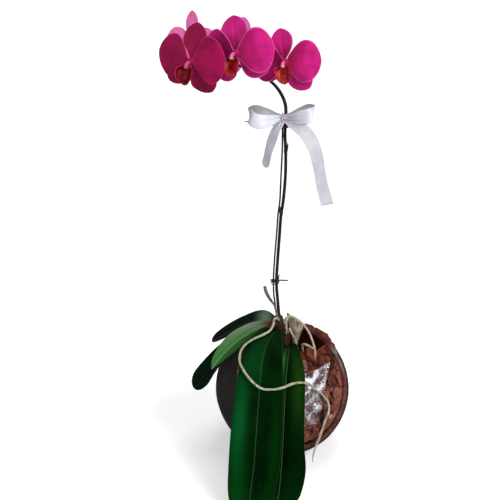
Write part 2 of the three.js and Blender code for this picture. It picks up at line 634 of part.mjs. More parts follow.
function bow() {
  const half = RIBBON_WIDTH / 2;
  const knot = placed(new THREE.SphereGeometry(1, 10, 6),
    new THREE.Matrix4().makeTranslation(...KNOT).multiply(new THREE.Matrix4().makeScale(4.4, 3.6, 4)));
  const leftLoop = ribbonBand(
    [[0, -0.5, 0], [-8, -3.5, -0.5], [-19, -7.5, -3], [-31, -8, -3.5], [-39, -4.5, -0.5], [-41, 0.5, 3.5],
      [-35, 3.6, 6.5], [-22, 3.4, 5.5], [-10, 2.2, 2.5], [0, 0.6, 0.5]],
    [3, 4.5, 7.5, half, half, half, half, 7, 4.5, 3],
    [[0, 0, 1], [0.1, 0, 1], [0.1, -0.1, 1], [0.1, 0.2, 1], [0, 0.1, 1]], 14);
  const rightLoop = ribbonBand(
    [[0, -0.5, 0], [8, -3.5, 0.5], [18, -7.5, 1.5], [28, -7.5, 2.5], [34.5, -4, 4.5], [35.5, 0.5, 7],
      [30, 3.6, 8], [20, 3.4, 6], [10, 2.2, 3], [0, 0.6, 0.5]],
    [3, 4.5, 7.5, half, half, half, half, 7, 4.5, 3],
    [[0, 0, -1], [-0.1, 0, -1], [-0.1, -0.1, -1], [-0.1, 0.2, -1], [0, 0.1, -1]], 14);
  const leftTail = ribbonBand(
    [[-0.5, -0.5, -0.5], [-6, -2.5, -9], [-11.5, -3.5, -20], [-15.5, -3, -32], [-18.5, -3.5, -43],
      [-20.5, -3, -52], [-22, -2.5, -60]],
    [3, 4.3, 5.5, 6.9, 8, 8.6, half, half, half, half, half, 8.2, 3.5],
    [[1, -0.3, 0], [0.7, -0.65, 0.2], [0.5, -0.85, 0.1], [0.52, -0.84, 0.1]], 12);
  const rightTail = ribbonBand(
    [[0.5, -0.5, -0.5], [10, -3, -6], [22, -4, -13], [32, -3.5, -24], [39.5, -3, -39], [44.5, -3.5, -60],
      [49.5, -3.5, -84], [56.5, -2.5, -107]],
    [3, 6, 8.5, half, half, half, half, half - 0.8],
    [[0.5, -0.2, 0.8], [0.75, -0.2, 0.5], [0.9, -0.35, 0.2], [0.75, -0.65, 0.1], [0.9, -0.4, 0.1]], 12);
  return biggestBody(joined([knot, leftLoop, rightLoop, leftTail, rightTail, ringBand()]));
}

// The band that holds the bow to the spike and the stake, gathered to a narrow loop.
function ringBand() {
  const { x, y, z, across, deep } = BOW_RING;
  const rows = steps(12, -Math.PI / 2 + 0.1, Math.PI * 1.44 + 0.1)
    .map((angle) => [x + Math.cos(angle) * across, y + Math.sin(angle) * deep, z]);
  const level = [[0, 0, 1], [0, 0, 1]];
  const surface = strapSurface({ points: rows, halfWidths: [2.4, 2.6, 2.4], across: level });
  return sheetSolid(surface, 12, 1, RIBBON_THICKNESS);
}

// ---- blooms ----

// Half width of a tepal at u along it: widest at the peak, slim at the base, round at the tip.
function tepalHalfWidth(u, { half, peak, slim, round }) {
  const wave = Math.sin(Math.PI * Math.min(u, 1) ** (Math.log(0.5) / Math.log(peak)));
  const shape = Math.max(wave, 0) ** (u < peak ? slim : round);
  return Math.max(half * shape, u < peak ? 2.5 : 1.6);
}

// One tepal in the bloom's own frame: x right, y up, z towards the viewer of the bloom.
function tepalSolid([angle, length, half], { peak, slim, round, sweep, cup, back, rows, columns }) {
  const out = vec(Math.sin(rad(angle)), Math.cos(rad(angle)), 0);
  const side = vec(Math.cos(rad(angle)), -Math.sin(rad(angle)), 0);
  return sheetSolid((s, v) => {
    const u = 1 - (1 - s) ** 1.5;
    const reach = length * (0.03 + 0.97 * u);
    const width = tepalHalfWidth(u, { half, peak, slim, round });
    const depth = -reach * Math.tan(rad(sweep)) + cup * v * v * width / 10 - back;
    return out.clone().multiplyScalar(reach).addScaledVector(side, v * width).add(vec(0, 0, depth));
  }, rows, columns, TEPAL_THICKNESS);
}

function perianth({ detail, dorsal, laterals, petals }) {
  const fine = detail > 0;
  const petal = {
    peak: 0.55, slim: 0.85, round: 0.5, sweep: 14, cup: -0.6, back: 0, rows: fine ? 8 : 6, columns: 4,
  };
  const sepal = {
    peak: 0.6, slim: 0.9, round: 0.5, sweep: 15, cup: 0.5, back: 2.6,
    rows: fine ? 7 : 5, columns: fine ? 4 : 2,
  };
  const lateral = { ...sepal, peak: 0.58, slim: 0.85, round: 0.45, sweep: 16, back: 3 };
  const hub = placed(new THREE.SphereGeometry(1, 8, 5),
    new THREE.Matrix4().makeTranslation(0, 0, -1.9).multiply(new THREE.Matrix4().makeScale(4.6, 4.6, 3.6)));
  return joined([
    hub,
    ...petals.map((size) => tepalSolid(size, petal)),
    tepalSolid(dorsal, sepal),
    ...laterals.map((size) => tepalSolid(size, lateral)),
  ]);
}

// The lip hangs from the foot of the column: two side lobes stand up, the middle lobe tapers.
function lip(detail) {
  const half = [2.2, 7, 9.5, 10.5, 10.3, 9.6, 8.4, 7, 5.2, 1.5];
  const curl = [0, 4.5, 7.5, 8, 7.5, 6.5, 5, 3.5, 2, 0];
  const rows = detail > 0 ? 9 : 6;
  return sheetSolid((u, v) => {
    const y = -2.75 - 25 * u + 3 * u * u;
    const z = 4.4 + 13.5 * Math.sin(u * 2.1) - 3.5 * u * u;
    return vec(v * along(half, u), y + 0.35 * along(curl, u) * v * v, z + along(curl, u) * v * v * 0.75);
  }, rows, 4, 0.9);
}

// The column stands in the middle of the bloom and nods over the lip.
function column() {
  const rows = [[0, 0.4, 2.1], [0, 0.2, 6.5], [0, -1, 10.2], [0, -3, 12.6]];
  return stemSolid(rows, [2.4, 2.4, 2.6, 1.8], 6, 5);
}

// ---- materials ----

const COLOURS = {
  husk: [0x2a2320, 0.85, 0],
  bark: [0x7a3f2c, 0.9, 0],
  film: [0xdfe3e6, 0.12, 0],
  crown: [0x4a2a22, 0.7, 0],
  sheath: [0xb7a58d, 0.75, 0],
  leaf: [0x06360f, 0.32, 0],
  leafPale: [0x3f7d3a, 0.45, 0],
  root: [0xc8c09a, 0.6, 0],
  spike: [0x2a1a1c, 0.45, 0],
  stake: [0x33291f, 0.5, 0],
  tieGreen: [0x123a1c, 0.5, 0],
  tieBlack: [0x111112, 0.45, 0],
  satin: [0xf3f2f6, 0.35, 0],
  petal: [0xc21f77, 0.55, 0],
  petalDeep: [0x8d1045, 0.55, 0],
  petalBack: [0xe078b4, 0.6, 0],
  lip: [0x9c1218, 0.45, 0],
  column: [0xf0cfe0, 0.45, 0],
};

function material(key) {
  const [color, roughness, metalness] = COLOURS[key];
  const clear = key === 'film';
  const opacity = clear ? 0.45 : 1;
  return new THREE.MeshStandardMaterial({ color, roughness, metalness, transparent: clear, opacity });
}

function piece(name, solid, key) {
  const mesh = new THREE.Mesh(geometryFrom(solid), material(key));
  mesh.name = name;
  return mesh;
}

// ---- assembly ----

const orchid = new THREE.Group();
orchid.name = 'potted_orchid';

const potGroup = new THREE.Group();
potGroup.add(piece('pot', huskPot(), 'husk'));
potGroup.add(piece('bark', bark(), 'bark'));
potGroup.add(piece('liner_film', linerFilm(), 'film'));
orchid.add(potGroup);

const plant = new THREE.Group();
plant.add(piece('crown', crown(), 'crown'));
plant.add(piece('dry_sheath', drySheath(), 'sheath'));
for (const name of Object.keys(LEAVES)) {
  plant.add(piece(name, leaf(name), name === 'leaf_left_pale' ? 'leafPale' : 'leaf'));
}
for (const name of Object.keys(ROOTS)) plant.add(piece(name, root(name), 'root'));
plant.add(piece('spike', spike(), 'spike'));
orchid.add(plant);

const support = new THREE.Group();
support.add(piece('stake', stake(), 'stake'));
support.add(piece('tie_lower', lowerTie(), 'tieGreen'));
support.add(piece('tie_upper', upperTie(), 'tieBlack'));
support.add(piece('ribbon_bow', bow(), 'satin'));
orchid.add(support);

for (const [name, spec] of Object.entries(BLOOMS)) {
  const bloom = new THREE.Group();
  bloom.applyMatrix4(bloomMatrix(spec));
  const back = name.includes('back');
  const shade = back ? 'petalBack' : name === 'bloom_left' ? 'petalDeep' : 'petal';
  bloom.add(piece(`${name}_petals`, perianth(spec), shade));
  bloom.add(piece(`${name}_lip`, lip(spec.detail), 'lip'));
  bloom.add(piece(`${name}_column`, column(), 'column'));
  orchid.add(bloom);
}

export default orchid;
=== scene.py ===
# %% [markdown]
# # A potted moth orchid, finished in Blender
#
# The plant grows in a hollowed coconut-husk ball that is open towards the viewer. The packed
# model already holds every piece at its real size and place. This lesson keeps those places
# and gives each piece its fine surface: fibrous husk, broken bark, crumpled film, glossy
# strap leaves, chalky aerial roots, a satin bow and five velvety blooms.
#
# Lengths are written in millimetres, as a grower would say them, and turned into metres
# when a mesh is made.

# %% Load the frame
import math

import bpy
import numpy as np
from mathutils import Matrix, Vector
from mathutils.bvhtree import BVHTree


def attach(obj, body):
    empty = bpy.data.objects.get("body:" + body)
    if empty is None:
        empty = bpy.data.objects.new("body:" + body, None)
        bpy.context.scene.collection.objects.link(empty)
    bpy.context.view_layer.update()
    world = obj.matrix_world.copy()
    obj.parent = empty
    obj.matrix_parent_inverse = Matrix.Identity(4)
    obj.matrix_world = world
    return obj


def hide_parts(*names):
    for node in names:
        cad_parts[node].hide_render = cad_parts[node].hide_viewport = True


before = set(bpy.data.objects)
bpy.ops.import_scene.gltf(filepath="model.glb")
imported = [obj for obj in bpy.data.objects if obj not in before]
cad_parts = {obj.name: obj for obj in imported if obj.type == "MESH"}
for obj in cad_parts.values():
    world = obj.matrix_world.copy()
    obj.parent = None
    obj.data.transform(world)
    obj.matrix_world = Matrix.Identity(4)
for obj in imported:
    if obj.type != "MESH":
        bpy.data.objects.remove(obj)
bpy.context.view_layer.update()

MM = 0.001
print("nodes in the frame:", len(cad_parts))

# %% [markdown]
# ## Curves and grids
#
# Every new piece is a surface of two parameters. A leaf is a strip carried along a curve, a
# root is a ring carried along a curve, and the pot is a profile turned about the axis of its
# opening. The helpers below work on whole arrays: one call gives all the points of a grid.


# %% A smooth curve through chosen points
def curve_points(points, shares):
    """Points and unit tangents of a curve through the given points, at shares from 0 to 1.

    It is a centripetal Catmull-Rom curve: between two points it is a cubic whose end slopes
    come from the neighbours, weighted by the square roots of the distances between points.
    """
    rows = np.asarray(points, float)
    rows = np.vstack([2 * rows[0] - rows[1], rows, 2 * rows[-1] - rows[-2]])
    place = np.clip(shares, 0, 1) * (len(points) - 1)
    first = np.minimum(place.astype(int), len(points) - 2)
    t = (place - first)[:, None]
    p0, p1, p2, p3 = (rows[first + k] for k in range(4))
    gap = [np.maximum(np.linalg.norm(b - a, axis=1, keepdims=True) ** 0.5, 1e-4)
           for a, b in ((p0, p1), (p1, p2), (p2, p3))]
    slope_1 = ((p1 - p0) / gap[0] - (p2 - p0) / (gap[0] + gap[1]) + (p2 - p1) / gap[1]) * gap[1]
    slope_2 = ((p2 - p1) / gap[1] - (p3 - p1) / (gap[1] + gap[2]) + (p3 - p2) / gap[2]) * gap[1]
    c2 = -3 * p1 + 3 * p2 - 2 * slope_1 - slope_2
    c3 = 2 * p1 - 2 * p2 + slope_1 + slope_2
    centre = p1 + slope_1 * t + c2 * t ** 2 + c3 * t ** 3
    tangent = slope_1 + 2 * c2 * t + 3 * c3 * t ** 2
    return centre, tangent / np.linalg.norm(tangent, axis=1, keepdims=True)


def along(values, shares):
    """Smooth values at shares from 0 to 1 along a list of equally spaced values."""
    rows = np.asarray(values, float)
    if len(rows) == 1:
        return np.broadcast_to(rows[0], np.shape(shares) + rows.shape[1:])
    last = len(rows) - 1
    place = np.clip(shares, 0, 1) * last
    i = np.minimum(place.astype(int), last - 1)
    f = (place - i).reshape(np.shape(place) + (1,) * (rows.ndim - 1))
    p0, p1 = rows[np.maximum(i - 1, 0)], rows[i]
    p2, p3 = rows[i + 1], rows[np.minimum(i + 2, last)]
    m1, m2 = (p2 - p0) / 2, (p3 - p1) / 2
    return ((2 * f ** 3 - 3 * f ** 2 + 1) * p1 + (f ** 3 - 2 * f ** 2 + f) * m1
            + (-2 * f ** 3 + 3 * f ** 2) * p2 + (f ** 3 - f ** 2) * m2)


def unit(vectors):
    """The same directions at length 1."""
    return vectors / np.maximum(np.linalg.norm(vectors, axis=-1, keepdims=True), 1e-9)


def waves(points, size, seed, count=14):
    """Soft bumps of about -1 to 1: the sum of sine waves in random directions, `size` long."""
    rng = np.random.default_rng(seed)
    directions = unit(rng.normal(size=(count, 3)))
    directions *= 2 * np.pi / size * rng.uniform(0.6, 1.5, (count, 1))
    phases = rng.uniform(0, 2 * np.pi, count)
    return np.sin(np.asarray(points) @ directions.T + phases).sum(-1) * 0.18


def length_of(points):
    """Length of the line through the points."""
    return float(np.linalg.norm(np.diff(points, axis=0), axis=1).sum())


unit_step = curve_points([(0, 0, 0), (1, 0, 0)], np.linspace(0, 1, 9))[0]
print("curve test, length of a unit step:", length_of(unit_step))


# %% Faces of a grid and closed bodies
def grid_faces(index, wrap=False):
    """Quads over a grid of point numbers; their faces look along (down a row) x (along a row)."""
    if wrap:
        index = np.hstack([index, index[:, :1]])
    a, b, c, d = index[:-1, :-1], index[1:, :-1], index[1:, 1:], index[:-1, 1:]
    return np.stack([a, b, c, d], -1).reshape(-1, 4)


def closed_rings(index, flip=False):
    """Faces round a stack of rings and a lid on each end; flip turns them all to the other side."""
    faces, lids = grid_faces(index, wrap=True), [tuple(index[0]), tuple(index[-1][::-1])]
    return (faces[:, ::-1], [lid[::-1] for lid in lids]) if flip else (faces, lids)


def ringed_body(grid, marks, flip=False):
    """A closed body from a grid whose rows are rings, with its marks."""
    faces, lids = closed_rings(np.arange(grid.size // 3).reshape(grid.shape[:2]), flip)
    return {"points": grid.reshape(-1, 3), "faces": faces, "caps": lids,
            "marks": {name: value.reshape(-1) for name, value in marks.items()}}


def many_bodies(grids, marks, flip=False):
    """Many small ringed bodies in one part; the first axis of the grids counts them."""
    closed = [closed_rings(one, flip) for one in np.arange(grids.size // 3).reshape(grids.shape[:3])]
    return {"points": grids.reshape(-1, 3), "faces": np.vstack([faces for faces, lids in closed]),
            "caps": sum((lids for faces, lids in closed), []), "marks": marks}


def pillow(upper, lower, marks):
    """A closed thin body between two grids that share their outermost points.

    `marks` are numbers for each point of a grid, such as how far along the blade it lies.
    """
    rows, columns = upper.shape[:2]
    top = np.arange(rows * columns).reshape(rows, columns)
    bottom = top.copy()
    inner = (rows - 2) * (columns - 2)
    bottom[1:-1, 1:-1] = rows * columns + np.arange(inner).reshape(rows - 2, columns - 2)
    points = np.vstack([upper.reshape(-1, 3), lower[1:-1, 1:-1].reshape(-1, 3)])
    kept = {name: np.concatenate([value.reshape(-1), value[1:-1, 1:-1].reshape(-1)])
            for name, value in marks.items()}
    under = np.full((rows, columns), 0.5)
    under[1:-1, 1:-1] = 0
    kept["under"] = np.concatenate([under.reshape(-1), np.ones(inner)])
    faces = np.vstack([grid_faces(top), grid_faces(bottom)[:, ::-1]])
    return {"points": points, "faces": faces, "marks": kept}


def thin_body(middle, thickness, marks):
    """A pillow about a middle grid: it goes half its thickness to each side, along the normal."""
    du = np.gradient(middle, axis=0)
    dv = np.gradient(middle, axis=1)
    normal = unit(np.cross(du, dv))
    half = (np.broadcast_to(thickness, middle.shape[:2]) / 2)[..., None]
    return pillow(middle + normal * half, middle - normal * half, marks)


print("faces of a grid of 3 x 3 points:", len(grid_faces(np.arange(9).reshape(3, 3))))


# %% One mesh object from several parts
def piece(name, parts, material, replaces=()):
    """Joins parts into one mesh at the origin, in metres, and seats it on the root body."""
    points, faces, start = [], [], 0
    names = sorted({mark for part in parts for mark in part["marks"]})
    values = {mark: [] for mark in names}
    for part in parts:
        points.append(part["points"])
        faces += [tuple(int(k) + start for k in face) for face in part["faces"]]
        faces += [tuple(int(k) + start for k in face) for face in part.get("caps", ())]
        for mark in names:
            values[mark].append(part["marks"].get(mark, np.zeros(len(part["points"]))))
        start += len(part["points"])
    mesh = bpy.data.meshes.new(name)
    mesh.from_pydata((np.vstack(points) * MM).tolist(), [], faces)
    for mark in names:
        layer = mesh.attributes.new(mark, "FLOAT", "POINT")
        layer.data.foreach_set("value", np.concatenate(values[mark]).astype(np.float32))
    mesh.polygons.foreach_set("use_smooth", [True] * len(mesh.polygons))
    made = bpy.data.objects.new(name, mesh)
    bpy.context.scene.collection.objects.link(made)
    made.data.materials.append(material)
    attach(made, "root")
    if replaces:
        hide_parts(*replaces)
    print(f"{name}: {len(mesh.vertices)} points, {len(mesh.polygons)} faces")
    return made


# %% A strip carried along a curve
def strap_grid(points, half_widths, across, lift, rows, columns, ripple=None, slant=0.0):
    """A strip along a curve: curve point + side x v x half width + normal x lift x |v|^1.5.

    `across` gives the side direction along the strip, and lift raises both margins. A slant
    ends the strip at u = 1 - slant x (1 + v), so one side is shorter.
    Returns the grid with u (0 to 1 along) and v (-1 to 1 across) for each of its points.
    """
    spread = np.linspace(-1, 1, columns)
    v = 0.6 * spread + 0.4 * np.sin(spread * np.pi / 2)
    u, v = np.meshgrid(np.linspace(0, 1, rows), v, indexing="ij")
    reached = u * (1 - slant * (1 + v))
    centre, tangent = curve_points(points, reached.reshape(-1))
    side = along(across, reached.reshape(-1))
    side = unit(side - (side * tangent).sum(-1, keepdims=True) * tangent)
    normal = np.cross(tangent, side).reshape(rows, columns, 3)
    centre, side = centre.reshape(rows, columns, 3), side.reshape(rows, columns, 3)
    raised = along(lift, reached) * np.abs(v) ** 1.5
    if ripple is not None:
        raised = raised + ripple(u, v)
    half = along(half_widths, reached)
    grid = centre + side * (v * half)[..., None] + normal * raised[..., None]
    return grid, u, v


print("corner of a strip:", strap_grid([(0, 0, 0), (0, 9, 0)], [1, 1], [(1, 0, 0)], [0], 4, 3)[0][0, 0])


# %% A ring carried along a curve
def turning_frames(tangent):
    """Two directions square to each tangent that turn as little as possible along the curve."""
    start = np.array([0.0, 0.0, 1.0]) if abs(tangent[0][2]) < 0.9 else np.array([1.0, 0.0, 0.0])
    normals = []
    for direction in tangent:
        start = start - direction * (start @ direction)
        start /= np.linalg.norm(start)
        normals.append(start)
    normal = np.array(normals)
    return normal, np.cross(tangent, normal)


def tube(points, radii, sides=12, rows=60, swell=None, tint=0.0, round_ends=(True, True)):
    """A closed round stem: rings about a curve, whose radius falls to nothing at each end.

    swell(points, u) changes the radius by a share. The marks hold u along the stem, the turn
    round it and a tint.
    """
    u = np.linspace(0, 1, rows)
    centre, tangent = curve_points(points, u)
    normal, binormal = turning_frames(tangent)
    radius = along(radii, u)
    total = length_of(centre)
    from_start, from_end = u * total, (1 - u) * total
    for distance, rounded in ((from_start, round_ends[0]), (from_end, round_ends[1])):
        reach = np.maximum(radius, 0.1) if rounded else 0.25
        radius = radius * np.sqrt(np.clip(1 - (1 - np.clip(distance / reach, 0, 1)) ** 2, 1e-4, 1))
    turn = np.linspace(0, 2 * np.pi, sides, endpoint=False)
    ring = (np.cos(turn)[None, :, None] * normal[:, None]
            + np.sin(turn)[None, :, None] * binormal[:, None])
    uu, tt = np.meshgrid(u, turn / (2 * np.pi), indexing="ij")
    grid = centre[:, None] + ring * radius[:, None, None]
    if swell is not None:
        grid = centre[:, None] + ring * (radius[:, None] * (1 + swell(grid, uu)))[..., None]
    return ringed_body(grid, {"along": uu, "around": tt, "millimetres": uu * total,
                              "tint": np.full(uu.shape, tint)}, flip=True)


print("points of a plain tube:", len(tube([(0, 0, 0), (0, 0, 9)], [1, 1])["points"]))


# %% A ball stretched to an egg
def blob(centre, radii, matrix=None, sides=14, rows=9, tint=0.0, seed=None):
    """A closed egg: a ball stretched to three radii about a point, then turned by a matrix."""
    polar = np.linspace(0.02, np.pi - 0.02, rows)
    turn = np.linspace(0, 2 * np.pi, sides, endpoint=False)
    pp, tt = np.meshgrid(polar, turn, indexing="ij")
    ball = np.stack([np.sin(pp) * np.cos(tt), np.sin(pp) * np.sin(tt), np.cos(pp)], -1)
    grid = ball * np.asarray(radii, float)
    if seed is not None:
        grid = grid * (1 + 0.06 * waves(ball * 10, 6, seed))[..., None]
    grid = grid + np.asarray(centre, float)
    if matrix is not None:
        grid = grid @ np.array(matrix.to_3x3()).T + np.array(matrix.to_translation())
    return ringed_body(grid, {"along": pp / np.pi, "around": tt / 6.3, "tint": np.full(pp.shape, tint)})


print("points of a plain egg:", len(blob((0, 0, 0), (1, 1, 2))["points"]))


# %% [markdown]
# ## Finishes
#
# Each finish is a Principled surface with its colour, roughness and fine relief driven by
# patterns. Three patterns are used by many finishes, so they are node groups: clouds for
# soft patches, streaks for fibres and veins, and specks for dots and pores. Patterns that
# follow a blade read the numbers stored on its points; the others read Object coordinates.


# %% Node helpers
def add(tree, kind, settings=None, **sockets):
    """One node. Settings are its own properties; sockets are inputs, as values or links."""
    made = tree.nodes.new(kind)
    for name, value in (settings or {}).items():
        setattr(made, name, value)
    for name, value in sockets.items():
        socket = made.inputs[int(name[1:])] if name[1:].isdigit() else made.inputs[name.replace("_", " ")]
        if isinstance(value, bpy.types.NodeSocket):
            tree.links.new(value, socket)
        else:
            socket.default_value = value
    return made


def mixed(tree, mask, first, second):
    """The first colour where the mask is 0 and the second where it is 1."""
    colours = [value if isinstance(value, bpy.types.NodeSocket) else (*value, 1) for value in (first, second)]
    return add(tree, "ShaderNodeMix", {"data_type": "RGBA"}, _0=mask, _6=colours[0], _7=colours[1]).outputs[2]


def remap(tree, value, low, high, new_low=0.0, new_high=1.0):
    """The value moved from one range to another, and kept inside the new one."""
    return add(tree, "ShaderNodeMapRange", {"interpolation_type": "SMOOTHSTEP"}, Value=value,
               From_Min=low, From_Max=high, To_Min=new_low, To_Max=new_high).outputs[0]


def sums(tree, operation, first, second):
    """One sum of two numbers."""
    return add(tree, "ShaderNodeMath", {"operation": operation}, _0=first, _1=second).outputs[0]


def times(tree, first, second):
    """One number times another."""
    return sums(tree, "MULTIPLY", first, second)


def unsigned(tree, value):
    """A number without its sign."""
    return sums(tree, "ABSOLUTE", value, 0)


def mark(tree, name):
    """A number stored on the points of the piece."""
    return add(tree, "ShaderNodeAttribute", {"attribute_name": name}).outputs["Fac"]


def joined_vector(tree, x, y, z=0.0):
    """A vector from three numbers."""
    return add(tree, "ShaderNodeCombineXYZ", X=x, Y=y, Z=z).outputs[0]


def new_group(name, inputs, outputs):
    """An empty node group with numbers or vectors as inputs and numbers as outputs."""
    group = bpy.data.node_groups.new(name, "ShaderNodeTree")
    for label, kind, value in inputs:
        socket = group.interface.new_socket(label, in_out="INPUT", socket_type="NodeSocket" + kind)
        socket.default_value = value
    for label in outputs:
        group.interface.new_socket(label, in_out="OUTPUT", socket_type="NodeSocketFloat")
    return group, group.nodes.new("NodeGroupInput").outputs, group.nodes.new("NodeGroupOutput").inputs


# %% Patterns used by many finishes
def clouds_group():
    """Soft patches: cloud noise, pulled apart between a low and a high value."""
    group, given, result = new_group(
        "clouds", [("Vector", "Vector", (0, 0, 0)), ("Scale", "Float", 50.0), ("Low", "Float", 0.4),
                   ("High", "Float", 0.6)], ["Mask"])
    noise = add(group, "ShaderNodeTexNoise", Vector=given["Vector"], Scale=given["Scale"], Detail=6.0)
    group.links.new(remap(group, noise.outputs[0], given["Low"], given["High"]), result["Mask"])
    return group


def streaks_group():
    """Fibres: cloud noise squeezed along each axis by its own amount, so it runs in lines."""
    group, given, result = new_group(
        "streaks", [("Vector", "Vector", (0, 0, 0)), ("Stretch", "Vector", (1, 1, 1)),
                    ("Low", "Float", 0.35), ("High", "Float", 0.65)], ["Mask"])
    squeezed = add(group, "ShaderNodeVectorMath", {"operation": "MULTIPLY"}, _0=given["Vector"],
                   _1=given["Stretch"])
    noise = add(group, "ShaderNodeTexNoise", Vector=squeezed.outputs[0], Scale=1.0, Detail=5.0,
                Distortion=0.3)
    group.links.new(remap(group, noise.outputs[0], given["Low"], given["High"]), result["Mask"])
    return group


def specks_group():
    """Dots and pores: how near each point is to the middle of its cell."""
    group, given, result = new_group(
        "specks", [("Vector", "Vector", (0, 0, 0)), ("Scale", "Float", 500.0), ("Size", "Float", 0.3)],
        ["Mask"])
    cells = add(group, "ShaderNodeTexVoronoi", Vector=given["Vector"], Scale=given["Scale"])
    mask = add(group, "ShaderNodeMapRange", Value=cells.outputs["Distance"], From_Min=given["Size"],
               From_Max=0.0)
    group.links.new(mask.outputs[0], result["Mask"])
    return group


CLOUDS, STREAKS, SPECKS = clouds_group(), streaks_group(), specks_group()


def clouds(tree, vector, scale, low, high):
    """Soft patches: 0 where the noise is below low and 1 where it is above high."""
    return add(tree, "ShaderNodeGroup", {"node_tree": CLOUDS}, Vector=vector, Scale=scale, Low=low,
               High=high).outputs[0]


def streaks(tree, vector, stretch, low, high):
    """Fibres along the axis whose stretch is the smallest."""
    return add(tree, "ShaderNodeGroup", {"node_tree": STREAKS}, Vector=vector, Stretch=stretch, Low=low,
               High=high).outputs[0]


def specks(tree, vector, scale, size):
    """Dots of a size between 0 and 1 cells."""
    return add(tree, "ShaderNodeGroup", {"node_tree": SPECKS}, Vector=vector, Scale=scale,
               Size=size).outputs[0]


print("pattern groups:", [group.name for group in bpy.data.node_groups])


# %% A new finish
def finish(name, **constants):
    """A new material with its Principled surface; constants go straight onto its sockets."""
    material = bpy.data.materials.new(name)
    material.use_nodes = True
    tree = material.node_tree
    surface = tree.nodes["Principled BSDF"]
    for label, value in constants.items():
        surface.inputs[label.replace("_", " ")].default_value = value
    place = add(tree, "ShaderNodeTexCoord").outputs["Object"]
    return material, tree, surface, place


def relief(tree, surface, height, depth):
    """Fine relief: the height pattern times its depth in metres, as a bump."""
    bump = add(tree, "ShaderNodeBump", Strength=1.0, Distance=depth, Height=height)
    tree.links.new(bump.outputs[0], surface.inputs["Normal"])


def paint(tree, surface, **links):
    """Links patterns to the surface's own sockets."""
    for label, source in links.items():
        tree.links.new(source, surface.inputs[label.replace("_", " ")])


def coat(tree, surface, colour, mask, first, second):
    """A colour, and a roughness: the first where the mask is 0 and the second where it is 1."""
    paint(tree, surface, Base_Color=colour, Roughness=remap(tree, mask, 0, 1, first, second))


# %% [markdown]
# ## The husk ball
#
# The pot is a hollowed coconut husk, cut open in front. A ball with a hole cut by another
# solid would do, but its edge would be even. Here a profile from the back of the ball to the
# rim, over the cut edge and back along the inside is turned about the opening's axis. So the
# wall has its real thickness everywhere, and the edge can follow an ellipse, wander a little
# and flare out where it is torn, at the upper right.

# %% Sizes of the ball
POT_RADIUS = 92.0
POT_CENTRE_Z = 85.0
POT_FLOOR_Z = 8.0
CAVITY_RADIUS = 86.0
CAVITY_SHIFT = 2.0                    # the hollow's middle lies this far towards the opening
OPENING_ACROSS = math.radians(55.7)   # half angle of the opening, side to side
OPENING_UP = math.radians(69)         # half angle of the opening, bottom to top
TORN_AT, TORN_REACH = 0.92, 0.36      # torn stretch of the edge: its middle and half length, radians
TORN_FLARE = 5.6                      # how far its outer edge stands out
opening = np.array(Matrix.Translation((0, 0, POT_CENTRE_Z)) @ Matrix.Rotation(math.radians(15), 4, "Z")
                   @ Matrix.Rotation(math.radians(-28), 4, "X"))


def in_ball(u, v, w):
    """A point of the ball: u to the right, v up the opening and w out of it."""
    return np.stack([u, -w, v], -1) @ opening[:3, :3].T + opening[:3, 3]


def in_opening(points):
    """The u, v and w of points: in_ball the other way round."""
    local = (points - opening[:3, 3]) @ opening[:3, :3]
    return local[..., 0], local[..., 2], -local[..., 1]


def rim_angle(turn):
    """Angle from the opening's axis to its edge: the edge is a cone over an ellipse."""
    flat = np.hypot(np.cos(turn) / math.tan(OPENING_ACROSS), np.sin(turn) / math.tan(OPENING_UP))
    return np.arctan(1 / flat)


def settled(height, level, softness=0.5):
    """Heights kept above a level with a soft bend: level + softness x log(1 + e^(h / softness))."""
    return level + softness * np.logaddexp(0, (height - level) / softness)


print("opening in mm:", [round(2 * POT_RADIUS * math.sin(a)) for a in (OPENING_ACROSS, OPENING_UP)])


